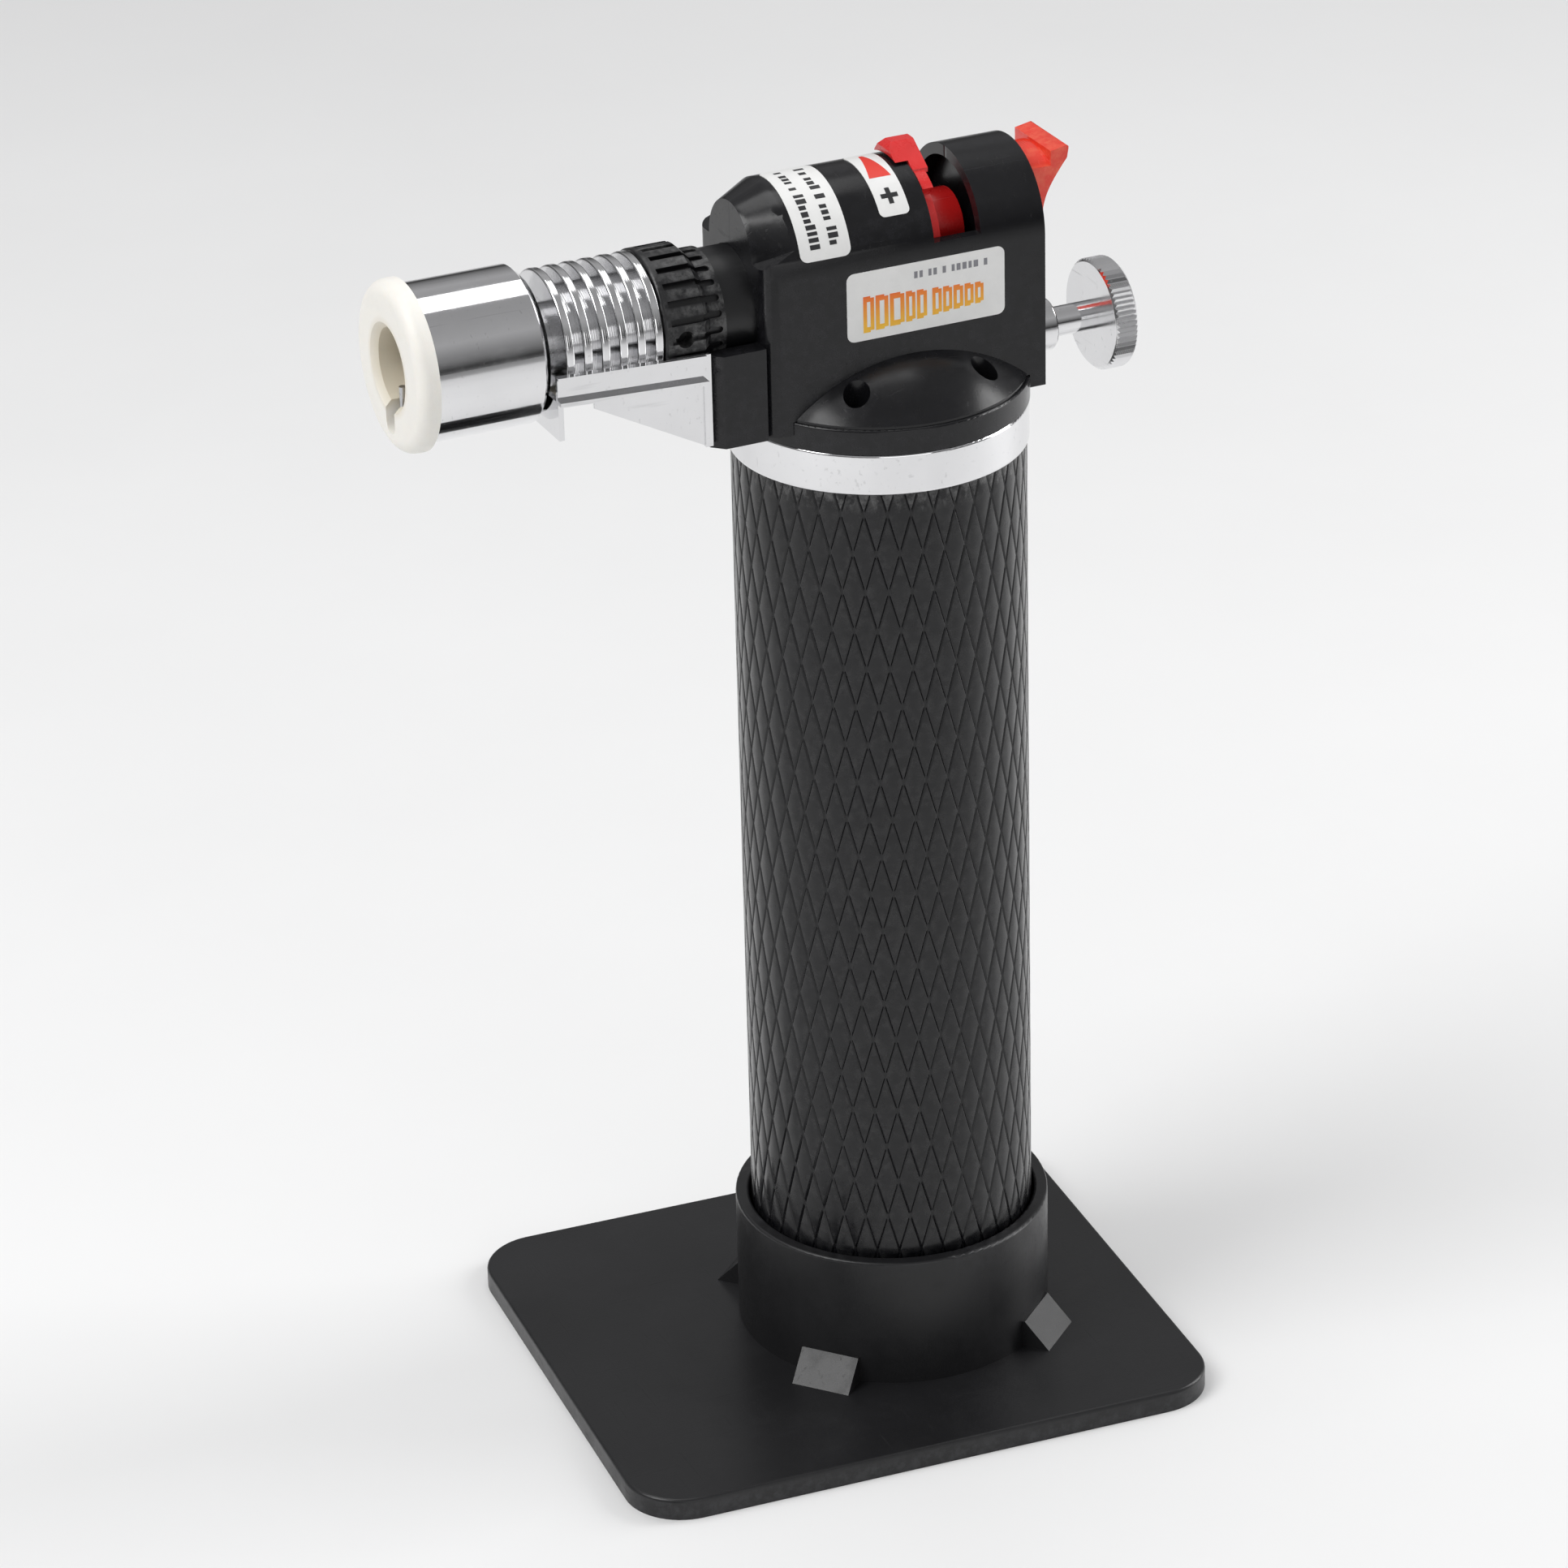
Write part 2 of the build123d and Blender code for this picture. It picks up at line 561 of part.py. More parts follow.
def electrode_guard():
    """Folded sheet: a back flange, a lipped rail and a web each side of the fins, a front bridge."""
    guard = box(-28.3, BLOCK_X, -9.7, 9.7, 139.6, 151.9)
    guard -= cyl_x(-30, -25, COLLAR_R + 0.3, BARREL_Z)
    guard -= cyl_x(-30, -25, LEAD_R + 0.4, LEAD_LOW_Z)
    guard -= box(-30, -25, -LEAD_R - 0.4, LEAD_R + 0.4, LEAD_LOW_Z, 146)
    rail = ((-27.3, 148.1), (-27.3, 151.9), (-47.9, 152.7), (-47.9, 149.1))
    web = ((-28.0, 148.6), (-28.0, 139.6), (-43.0, 147.6), (-43.0, 149.4))
    top_lip = ((-28.0, 151.55), (-28.0, 151.9), (-47.9, 152.7), (-47.9, 152.35))
    low_lip = ((-28.0, 148.2), (-28.0, 148.75), (-47.9, 149.65), (-47.9, 149.1))
    for side in (-1, 1):
        guard += side_plate(rail, *sorted((side * 9.1, side * 9.7)))
        guard += side_plate(web, *sorted((side * 9.1, side * 9.45)))
        guard += side_plate(top_lip, *sorted((side * 9.6, side * 10.1)))
        guard += side_plate(low_lip, *sorted((side * 9.6, side * 10.7)))
    bridge = box(-47.9, -47.2, -9.7, 9.7, 144.3, 149.4)
    bridge -= cyl_x(-49, -46, MIX_R + 0.3, BARREL_Z) + cyl_x(-49, -46, LEAD_R + 0.1, WIRE_Z)
    guard += bridge
    for side in (-1, 1):
        guard -= cyl_x(-29, -26, PILOT_R + 0.05, GUARD_SCREW_Z, side * GUARD_SCREW_Y)
    return guard


def guard_screws():
    screws = []
    for side in (-1, 1):
        y = side * GUARD_SCREW_Y
        head = cyl_x(-29.1, -28.3, 1.2, GUARD_SCREW_Z, y)
        head -= box(-30, -28.8, y - 0.15, y + 0.15, GUARD_SCREW_Z - 0.8, GUARD_SCREW_Z + 0.8)
        screws.append((head + cyl_x(-28.3, -25.9, PILOT_R, GUARD_SCREW_Z, y)).solids()[0])
    return Compound(children=screws)


def piezo_body():
    body = box(-9.0, 9.0, -3.8, 3.8, PIEZO_Z - 3.8, PIEZO_Z + 3.8)
    body = chamfer(body.edges().filter_by(Axis.X), 0.6)
    return body - cyl_x(0.5, 10, PLUNGER_R + 0.05, PIEZO_Z)


def piezo_plunger():
    return cyl_x(4.5, 13.98, PLUNGER_R, PIEZO_Z)


# ---------------------------------------------------------------- controls
def igniter_button():
    """Thumb button: a sliding body, an overhanging pad with grip ribs, and an arm to the piezo."""
    rear = Spline((24.6, 166.9), (22.9, 164.6), (21.6, 162.2), (21.0, 159.6), (20.5, 155.5))
    rest = Polyline(
        (20.5, 155.5), (14.0, 155.5), (14.0, 155.9), (16.9, 155.9), (16.9, 167.8),
        (20.7, 167.8), (24.9, 168.6), (24.6, 166.9)
    )
    button = extrude(Plane.XZ * make_face(rear + rest), 5.0, both=True)
    button &= cyl_x(13, 22.4, OPENING_R - 0.1, HUMP_Z) + box(22.3, 26, -6, 6, 150, 172)
    side_edges = button.edges().filter_by(Axis.Y).group_by(Axis.X)[-1]
    button = fillet(side_edges, 0.3)
    for z in (156.9, 158.3, 159.7, 161.1):
        button += box(19.5, 21.35 + (z - 156.9) * 0.09, -4.2, 4.2, z, z + 0.6)
    return button + box(14.0, 16.0, -3.0, 3.0, 147.95, 155.6)


def sector(r, half_deg):
    """The part of a disc on the dial's axis within half_deg of straight up."""
    disc = cyl_x(*DIAL_X, r, HUMP_Z) & box(0, 10, -20, 20, HUMP_Z, 180)
    left = about_x(box(0, 10, 0, 30, -30 + HUMP_Z, 30 + HUMP_Z), HUMP_Z, -half_deg)
    right = about_x(box(0, 10, -30, 0, -30 + HUMP_Z, 30 + HUMP_Z), HUMP_Z, half_deg)
    return disc - left - right


def flame_dial():
    """Flange in the housing's slot, a hub behind it, and a tab that sticks out on top."""
    front, rear = DIAL_X
    dial = cyl_x(front, rear, DIAL_R, HUMP_Z) - box(0, 10, -12, 12, 140, HUMP_Z - 1.6)
    dial += cyl_x(rear, 10.3, 4.6, HUMP_Z) & box(rear, 11, -5, 5, HUMP_Z - 5, 170)
    dial += sector(SECTOR_R, SECTOR_HALF_DEG)
    ridge = ((-3.9, 168.6), (0.2, TAB_TOP_Z), (1.8, TAB_TOP_Z), (3.4, 169.4), (3.4, 168.0), (-3.9, 168.0))
    outline = Plane.YZ.offset(TAB_X[0]) * make_face(Polyline(*ridge, close=True))
    tab = extrude(outline, TAB_X[1] - TAB_X[0])
    tab = chamfer(tab.edges().group_by(Axis.X)[0].group_by(Axis.Z)[-1], 0.8)
    dial += tab - cyl_x(TAB_X[0] - 1, front - 0.1, HALF + 0.35, HUMP_Z)
    return dial - cyl_x(front - 1, front + 2.0, 1.48, HUMP_Z)


def regulator_spindle():
    return cyl_x(-7.9, DIAL_X[0] + 1.98, 1.46, HUMP_Z)


def needle_spindle():
    shaft = cyl_x(19.55, KNOB_X[1] - 0.5, NEEDLE_R, NEEDLE_Z)
    shaft += cyl_x(4.0, 19.6, 1.2, NEEDLE_Z)
    return shaft + cone_x(1.2, 4.0, 0.25, 1.2, NEEDLE_Z)


def gas_knob():
    """Disc with a fine serrated rim."""
    points = []
    step = 2 * math.pi / KNOB_TEETH
    for tooth in range(KNOB_TEETH):
        for offset, r in ((0.0, KNOB_R), (0.5, KNOB_R - KNOB_TOOTH)):
            angle = (tooth + offset) * step
            points.append((r * math.cos(angle), r * math.sin(angle)))
    outline = Plane.YZ * make_face(Polyline(*points, close=True))
    rim = Pos(KNOB_X[0], 0, NEEDLE_Z) * extrude(outline, KNOB_X[1] - KNOB_X[0])
    blank = cyl_x(*KNOB_X, KNOB_R, NEEDLE_Z)
    blank = chamfer(blank.edges().filter_by(GeomType.CIRCLE), 0.4)
    knob = rim & blank
    return knob - cyl_x(KNOB_X[0] - 1, KNOB_X[1] - 0.48, NEEDLE_R + 0.01, NEEDLE_Z)


# ---------------------------------------------------------------- labels
def wrapped_label(x0, x1, near_deg, far_deg):
    """A thin label bent over the housing's round top, so far down each side of the middle."""
    band = cyl_x(x0, x1, HALF + LABEL_T, HUMP_Z) - cyl_x(x0 - 1, x1 + 1, HALF, HUMP_Z)
    reach = 40
    far = box(x0 - 1, x1 + 1, 0, reach, HUMP_Z - reach, HUMP_Z + reach)
    near = box(x0 - 1, x1 + 1, -reach, 0, HUMP_Z - reach, HUMP_Z + reach)
    top = box(x0 - 1, x1 + 1, -reach, reach, HUMP_Z, HUMP_Z + reach)
    return (band & top) - about_x(far, HUMP_Z, -far_deg) - about_x(near, HUMP_Z, near_deg)


def side_sticker():
    blank = box(-8.9, 13.0, -HALF - LABEL_T, -HALF, 149.9, 159.0)
    return fillet(blank.edges().filter_by(Axis.Y), 1.3)


# ---------------------------------------------------------------- write every sub-part
def main():
    os.makedirs(PARTS, exist_ok=True)
    whole = housing_whole()
    pieces = {
        "stand": stand(),
        "tank_tube": tank_tube(),
        "base_cap": base_cap(),
        "base_seal": seal(BASE_SEAL_Z),
        "fill_valve_body": fill_valve_body(),
        "fill_valve_stem": fill_valve_stem(),
        "fill_valve_spring": fill_valve_spring(),
        "top_plug": top_plug(),
        "top_seal": seal(TOP_SEAL_Z),
        "dip_tube": dip_tube(),
        "collar_ring": collar_ring(),
        "head_flange": head_flange(),
        "flange_screws": flange_screws(),
        "housing_near": housing_near(whole),
        "housing_far": housing_far(whole),
        "housing_screws": housing_screws(),
        "valve_body": valve_body(),
        "valve_seal": valve_seal(),
        "gas_tube": gas_tube(),
        "regulator_body": regulator_body(),
        "regulator_spindle": regulator_spindle(),
        "gas_jet": gas_jet(),
        "needle_bush": needle_bush(),
        "needle_spindle": needle_spindle(),
        "gas_knob": gas_knob(),
        "barrel_tube": barrel_tube(),
        "mixing_tube": mixing_tube(),
        "air_collar": air_collar(),
        "heat_sink": heat_sink(),
        "flame_holder": flame_holder(),
        "flame_sleeve": flame_sleeve(),
        "ceramic_ring": ceramic_ring(),
        "electrode": electrode(),
        "electrode_insulator": electrode_insulator(),
        "ignition_lead": ignition_lead(),
        "electrode_guard": electrode_guard(),
        "guard_screws": guard_screws(),
        "piezo_body": piezo_body(),
        "piezo_plunger": piezo_plunger(),
        "igniter_button": igniter_button(),
        "flame_dial": flame_dial(),
        "label_front": wrapped_label(-14.9, -8.0, 77, 15),
        "label_flame": wrapped_label(-3.2, 0.9, 56, 15),
        "side_sticker": side_sticker(),
    }
    for node, shape in pieces.items():
        save(node, shape)


main()
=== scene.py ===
"""Looks of the butane torch: its finishes, its knurled tube, its labels and its stage."""

import math
import random

import bmesh
import bpy
from bpy.props import FloatProperty, FloatVectorProperty, IntProperty, PointerProperty
from mathutils import Matrix, Vector


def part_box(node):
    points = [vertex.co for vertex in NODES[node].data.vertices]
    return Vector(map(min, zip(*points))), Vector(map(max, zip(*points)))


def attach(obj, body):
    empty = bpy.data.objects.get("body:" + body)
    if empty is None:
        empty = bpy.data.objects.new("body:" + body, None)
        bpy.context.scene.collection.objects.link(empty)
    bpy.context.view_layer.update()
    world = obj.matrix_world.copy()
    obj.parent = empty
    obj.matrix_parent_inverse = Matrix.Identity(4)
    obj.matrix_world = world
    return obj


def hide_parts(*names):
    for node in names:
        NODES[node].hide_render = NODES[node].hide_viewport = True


bl_info = {
    "name": "Butane torch looks",
    "version": (1, 0, 0),
    "blender": (4, 5, 0),
    "location": "3D View > Sidebar > Torch",
    "description": "Finishes, knurl, labels and stage for the butane torch",
    "category": "Object",
}

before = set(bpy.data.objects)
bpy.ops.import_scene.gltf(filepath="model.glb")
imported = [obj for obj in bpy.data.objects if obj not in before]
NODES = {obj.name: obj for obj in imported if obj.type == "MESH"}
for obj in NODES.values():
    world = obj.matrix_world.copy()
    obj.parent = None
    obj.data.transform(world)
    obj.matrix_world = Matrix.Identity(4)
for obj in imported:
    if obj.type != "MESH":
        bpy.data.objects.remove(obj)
MM = 0.001
SEED = 7

TANK_LOW, TANK_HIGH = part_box("tank_tube")
STICKER_LOW, STICKER_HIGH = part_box("side_sticker")
FRONT_LOW, FRONT_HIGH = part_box("label_front")
FLAME_LOW, FLAME_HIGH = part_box("label_flame")
HUMP_Z = 159.2 * MM
BARREL_Z = 154.05 * MM
NEEDLE_Z = 142.7 * MM
LABEL_R = 10.3 * MM
FILM_T = 0.09 * MM
INK_LIFT = 0.02 * MM
ROW_STEP = 0.4 * MM
INK_STEP = 0.3 * MM
CORNER_STEPS = 6
TANK_WALL = 1.4 * MM
CERAMIC_BORE_R = 5.0 * MM
CERAMIC_LIP_R = 6.6 * MM
PRINT_Z = (151.4 * MM, 155.6 * MM)
# phase of the lathe rings, radians per metre
RINGS_PHASE = 21000.0
SOFT_EDGE = 0.2 * MM
THIN_EDGE = 0.12 * MM
FOLD_DEG = 32
CREASE_DEG = 40
KNURL_CREASE_DEG = 50
WELD_GAP = 0.002 * MM
# points nearer a level than this (metres) count as on it
ON_LEVEL = 1e-6
# a groove's rounded lip ends this many half widths from its middle, and starts this share down it
LIP_END = 1.45
LIP_FOOT = 0.13


# ---------------------------------------------------------------- sizes and colours the looks start from
class TorchSizes(bpy.types.PropertyGroup):
    knurl_starts: IntProperty(
        name="Knurl grooves", description="Grooves each way round the tube", default=40, min=8
    )
    knurl_height: FloatProperty(
        name="Diamond height", description="Height of one knurl diamond", default=10.7 * MM, unit="LENGTH"
    )
    knurl_depth: FloatProperty(
        name="Groove depth", description="Depth of a knurl groove", default=0.19 * MM, unit="LENGTH"
    )
    knurl_groove: FloatProperty(
        name="Groove share", description="Half a groove's width as a share of a diamond", default=0.062
    )
    edge_round: FloatProperty(
        name="Moulded edge", description="Rounding of moulded edges", default=0.45 * MM, unit="LENGTH"
    )
    label_corner: FloatProperty(
        name="Label corner", description="Corner radius of the labels", default=1.0 * MM, unit="LENGTH"
    )


class TorchColours(bpy.types.PropertyGroup):
    housing: FloatVectorProperty(
        name="Housing", description="Black moulded plastic", default=(0.006, 0.006, 0.007), subtype="COLOR"
    )
    stand: FloatVectorProperty(
        name="Stand", description="Black plastic of the stand", default=(0.011, 0.011, 0.012), subtype="COLOR"
    )
    tank: FloatVectorProperty(
        name="Tank", description="Knurled black tube", default=(0.004, 0.004, 0.005), subtype="COLOR"
    )
    chrome: FloatVectorProperty(
        name="Chrome", description="Plated parts", default=(0.78, 0.78, 0.79), subtype="COLOR"
    )
    ceramic: FloatVectorProperty(
        name="Ceramic", description="Ring at the flame's end", default=(0.86, 0.84, 0.79), subtype="COLOR"
    )
    button: FloatVectorProperty(
        name="Button", description="Igniter button", default=(0.76, 0.035, 0.014), subtype="COLOR"
    )
    dial: FloatVectorProperty(
        name="Dial", description="Flame dial", default=(0.60, 0.014, 0.014), subtype="COLOR"
    )
    label: FloatVectorProperty(
        name="Label", description="Printed film", default=(0.80, 0.80, 0.79), subtype="COLOR"
    )


# ---------------------------------------------------------------- effects shared by materials
def new_group(name, inputs, outputs):
    group = bpy.data.node_groups.new(name, "ShaderNodeTree")
    for label, default in inputs:
        socket = group.interface.new_socket(name=label, in_out="INPUT", socket_type="NodeSocketFloat")
        socket.default_value = default
    for label, kind in outputs:
        group.interface.new_socket(name=label, in_out="OUTPUT", socket_type=kind)
    start = group.nodes.new("NodeGroupInput")
    end = group.nodes.new("NodeGroupOutput")
    return group, start, end


def noise(tree, scale, detail=4.0, roughness=0.55, vector=None):
    node = tree.nodes.new("ShaderNodeTexNoise")
    node.inputs["Detail"].default_value = detail
    node.inputs["Roughness"].default_value = roughness
    if isinstance(scale, (int, float)):
        node.inputs["Scale"].default_value = scale
    else:
        tree.links.new(scale, node.inputs["Scale"])
    if vector is not None:
        tree.links.new(vector, node.inputs["Vector"])
    return node


def math_node(tree, operation, a, b):
    node = tree.nodes.new("ShaderNodeMath")
    node.operation = operation
    for socket, value in zip(node.inputs, (a, b)):
        if isinstance(value, (int, float)):
            socket.default_value = value
        else:
            tree.links.new(value, socket)
    return node.outputs[0]


def spread(tree, value, low, high, to_low=0.0, to_high=1.0):
    """Carry low..high of a value onto to_low..to_high, held at both ends."""
    node = tree.nodes.new("ShaderNodeMapRange")
    tree.links.new(value, node.inputs["Value"])
    for label, number in (("From Min", low), ("From Max", high), ("To Min", to_low), ("To Max", to_high)):
        if isinstance(number, (int, float)):
            node.inputs[label].default_value = number
        else:
            tree.links.new(number, node.inputs[label])
    return node.outputs["Result"]


def object_place(tree):
    return tree.nodes.new("ShaderNodeTexCoord").outputs["Object"]


def make_grain():
    """Fine moulded or blasted grain: a height, and a tone that drifts slowly."""
    group, start, end = new_group(
        "surface_grain",
        (("Grain scale", 4000.0), ("Drift scale", 60.0)),
        (("Height", "NodeSocketFloat"), ("Drift", "NodeSocketFloat")),
    )
    place = object_place(group)
    fine = noise(group, start.outputs["Grain scale"], 3.0, 0.6, place)
    slow = noise(group, start.outputs["Drift scale"], 5.0, 0.6, place)
    group.links.new(fine.outputs["Fac"], end.inputs["Height"])
    group.links.new(spread(group, slow.outputs["Fac"], 0.3, 0.7), end.inputs["Drift"])
    return group


def make_scratches():
    """Hairline scratches in two crossing directions."""
    group, start, end = new_group(
        "hairline_scratches", (("Density", 0.5),), (("Mask", "NodeSocketFloat"),)
    )
    place = object_place(group)
    masks = []
    for turn, stretch in ((0.35, (60.0, 2400.0, 900.0)), (-0.9, (1900.0, 110.0, 1300.0))):
        mapping = group.nodes.new("ShaderNodeMapping")
        mapping.inputs["Rotation"].default_value = (turn, turn * 0.7, turn)
        mapping.inputs["Scale"].default_value = stretch
        group.links.new(place, mapping.inputs["Vector"])
        lines = noise(group, 1.0, 2.0, 0.5, mapping.outputs["Vector"])
        masks.append(spread(group, lines.outputs["Fac"], 0.66, 0.74))
    both = math_node(group, "MAXIMUM", masks[0], masks[1])
    group.links.new(math_node(group, "MULTIPLY", both, start.outputs["Density"]), end.inputs["Mask"])
    return group


def make_smudges():
    """Handling marks and thin dust, as a mask."""
    group, start, end = new_group(
        "handling_marks", (("Size", 140.0), ("Amount", 0.5)), (("Mask", "NodeSocketFloat"),)
    )
    place = object_place(group)
    broad = noise(group, start.outputs["Size"], 6.0, 0.68, place)
    specks = noise(group, 2600.0, 1.0, 0.4, place)
    marks = spread(group, broad.outputs["Fac"], 0.46, 0.72)
    dots = spread(group, specks.outputs["Fac"], 0.72, 0.78, 0.0, 0.5)
    both = math_node(group, "ADD", marks, dots)
    group.links.new(math_node(group, "MULTIPLY", both, start.outputs["Amount"]), end.inputs["Mask"])
    return group


def make_edge_wear():
    """Where edges are rubbed: sharp corners broken up by noise."""
    group, start, end = new_group(
        "edge_wear", (("Reach", 0.56), ("Amount", 0.6)), (("Mask", "NodeSocketFloat"),)
    )
    place = object_place(group)
    corner = group.nodes.new("ShaderNodeNewGeometry").outputs["Pointiness"]
    patches = noise(group, 700.0, 5.0, 0.7, place)
    sharp = spread(group, corner, 0.51, start.outputs["Reach"])
    broken = spread(group, patches.outputs["Fac"], 0.42, 0.62)
    worn = math_node(group, "MULTIPLY", sharp, broken)
    group.links.new(math_node(group, "MULTIPLY", worn, start.outputs["Amount"]), end.inputs["Mask"])
    return group


EFFECTS = {}


def place_effect(tree, name, **values):
    node = tree.nodes.new("ShaderNodeGroup")
    node.node_tree = EFFECTS[name]
    for label, value in values.items():
        node.inputs[label.replace("_", " ")].default_value = value
    return node


# ---------------------------------------------------------------- materials
def blank_material(name):
    material = bpy.data.materials.new(name)
    material.use_nodes = True
    tree = material.node_tree
    return material, tree, tree.nodes["Principled BSDF"]


def mix_colour(tree, mask, first, second):
    node = tree.nodes.new("ShaderNodeMix")
    node.data_type = "RGBA"
    tree.links.new(mask, node.inputs["Factor"])
    for socket, colour in ((node.inputs["A"], first), (node.inputs["B"], second)):
        if isinstance(colour, (tuple, list)):
            socket.default_value = tuple(colour) + (1.0,)
        else:
            tree.links.new(colour, socket)
    return node.outputs["Result"]


def add_bump(tree, shader, height, distance):
    bump = tree.nodes.new("ShaderNodeBump")
    bump.inputs["Distance"].default_value = distance
    tree.links.new(height, bump.inputs["Height"])
    tree.links.new(bump.outputs["Normal"], shader.inputs["Normal"])


def shade(colour, factor):
    return tuple(min(1.0, part * factor) for part in colour)


def plastic(
    name, colour, rough, grain_scale, grain_depth, wear=0.5, marks=0.35, worn=None, coat=0.0, specular=0.5
):
    """Moulded plastic: fine grain, slow tone drift, rubbed edges and handling marks."""
    material, tree, shader = blank_material(name)
    grain = place_effect(tree, "surface_grain", Grain_scale=grain_scale, Drift_scale=55.0)
    rubbed = place_effect(tree, "edge_wear", Amount=wear)
    marked = place_effect(tree, "handling_marks", Size=120.0, Amount=marks)
    scratched = place_effect(tree, "hairline_scratches", Density=0.5)
    toned = mix_colour(tree, grain.outputs["Drift"], shade(colour, 0.85), shade(colour, 1.2))
    worn_colour = worn or shade(colour, 2.6)
    edged = mix_colour(tree, rubbed.outputs["Mask"], toned, worn_colour)
    tree.links.new(edged, shader.inputs["Base Color"])
    scuffs = math_node(tree, "MULTIPLY", scratched.outputs["Mask"], 0.22)
    smear = math_node(tree, "MULTIPLY", marked.outputs["Mask"], 0.3)
    both = math_node(tree, "ADD", scuffs, smear)
    tree.links.new(math_node(tree, "ADD", both, rough), shader.inputs["Roughness"])
    shader.inputs["Specular IOR Level"].default_value = specular
    shader.inputs["Coat Weight"].default_value = coat
    shader.inputs["Coat Roughness"].default_value = 0.12
    add_bump(tree, shader, grain.outputs["Height"], grain_depth)
    return material


def plated(name, colour, rough, rings=None, tarnish=0.25):
    """Plated metal: slight waviness, hairlines, faint tarnish and, where turned, fine lathe rings."""
    material, tree, shader = blank_material(name)
    shader.inputs["Metallic"].default_value = 1.0
    drift = place_effect(tree, "surface_grain", Grain_scale=900.0, Drift_scale=90.0)
    scratched = place_effect(tree, "hairline_scratches", Density=0.8)
    marked = place_effect(tree, "handling_marks", Size=170.0, Amount=0.6)
    dull = math_node(tree, "MULTIPLY", drift.outputs["Drift"], tarnish)
    toned = mix_colour(tree, dull, colour, shade(colour, 0.72))
    lined = mix_colour(tree, scratched.outputs["Mask"], toned, shade(colour, 0.8))
    tree.links.new(lined, shader.inputs["Base Color"])
    lines = math_node(tree, "MULTIPLY", scratched.outputs["Mask"], 0.14)
    smear = math_node(tree, "MULTIPLY", marked.outputs["Mask"], 0.10)
    both = math_node(tree, "ADD", lines, smear)
    tree.links.new(math_node(tree, "ADD", both, rough), shader.inputs["Roughness"])
    height = drift.outputs["Height"]
    depth = 0.0025 * MM
    if rings is not None:
        height = turned_rings(tree, rings, height)
        depth = 0.006 * MM
    add_bump(tree, shader, height, depth)
    return material


def place_parts(tree):
    """The X, Y and Z of a point on the piece."""
    parts = tree.nodes.new("ShaderNodeSeparateXYZ")
    tree.links.new(object_place(tree), parts.inputs[0])
    return parts.outputs


def radius_about(tree, parts, axis_height):
    """Distance from an X axis at that height."""
    level = math_node(tree, "SUBTRACT", parts["Z"], axis_height)
    squared = math_node(tree, "MULTIPLY", level, level)
    across = math_node(tree, "MULTIPLY", parts["Y"], parts["Y"])
    return math_node(tree, "SQRT", math_node(tree, "ADD", squared, across), 0.0)


def turned_rings(tree, axis_height, under):
    """Fine circles about an X axis at that height, over a faint waviness."""
    parts = place_parts(tree)
    along = math_node(tree, "ADD", parts["X"], radius_about(tree, parts, axis_height))
    wave = math_node(tree, "SINE", math_node(tree, "MULTIPLY", along, RINGS_PHASE), 0.0)
    return math_node(tree, "ADD", math_node(tree, "MULTIPLY", wave, 0.3), under)


def fired_ceramic(name, colour):
    """Unglazed white ceramic with a fine tooth and faint speckle, and painted shade: a darker, warmer tone
    inside the bore.
    """
    material, tree, shader = blank_material(name)
    grain = place_effect(tree, "surface_grain", Grain_scale=5200.0, Drift_scale=120.0)
    marked = place_effect(tree, "handling_marks", Size=260.0, Amount=0.5)
    radius = radius_about(tree, place_parts(tree), BARREL_Z)
    # painted shade: the colour turns darker and warmer from the lip into the bore; the handling marks use the
    # same darker tone
    bore_shade = spread(tree, radius, CERAMIC_LIP_R, CERAMIC_BORE_R, 0.0, 0.85)
    soil_and_bore_shade = shade(colour, 0.78)
    toned = mix_colour(tree, bore_shade, colour, (soil_and_bore_shade[0], soil_and_bore_shade[1] * 0.93, soil_and_bore_shade[2] * 0.78))
    drifted = mix_colour(tree, math_node(tree, "MULTIPLY", marked.outputs["Mask"], 0.35), toned, soil_and_bore_shade)
    tree.links.new(drifted, shader.inputs["Base Color"])
    tree.links.new(spread(tree, grain.outputs["Drift"], 0.0, 1.0, 0.42, 0.6), shader.inputs["Roughness"])
    shader.inputs["Subsurface Weight"].default_value = 0.15
    shader.inputs["Subsurface Radius"].default_value = (1.0, 0.8, 0.6)
    shader.inputs["Subsurface Scale"].default_value = 0.6 * MM
    add_bump(tree, shader, grain.outputs["Height"], 0.02 * MM)
    return material


def printed_film(name, colour, rough):
    """Label film: a soft gloss, faint fibre and a little yellowing."""
    material, tree, shader = blank_material(name)
    grain = place_effect(tree, "surface_grain", Grain_scale=3000.0, Drift_scale=160.0)
    marked = place_effect(tree, "handling_marks", Size=300.0, Amount=0.4)
    toned = mix_colour(tree, grain.outputs["Drift"], colour, shade(colour, 0.93))
    soiled = mix_colour(tree, marked.outputs["Mask"], toned, shade(colour, 0.85))
    tree.links.new(soiled, shader.inputs["Base Color"])
    gloss = spread(tree, grain.outputs["Drift"], 0.0, 1.0, rough, rough + 0.1)
    tree.links.new(gloss, shader.inputs["Roughness"])
    add_bump(tree, shader, grain.outputs["Height"], 0.004 * MM)
    return material


def sunset_print(name):
    """Orange ink that fades to yellow towards its lower edge."""
    material, tree, shader = blank_material(name)
    grain = place_effect(tree, "surface_grain", Grain_scale=3400.0, Drift_scale=420.0)
    level = spread(tree, place_parts(tree)["Z"], *PRINT_Z)
    mixed = mix_colour(tree, level, (0.86, 0.52, 0.03), (0.80, 0.13, 0.012))
    patchy = math_node(tree, "MULTIPLY", grain.outputs["Drift"], 0.35)
    drifted = mix_colour(tree, patchy, mixed, (0.74, 0.2, 0.02))
    tree.links.new(drifted, shader.inputs["Base Color"])
    tree.links.new(spread(tree, grain.outputs["Drift"], 0.0, 1.0, 0.3, 0.42), shader.inputs["Roughness"])
    add_bump(tree, shader, grain.outputs["Height"], 0.003 * MM)
    return material


MATERIALS = {}


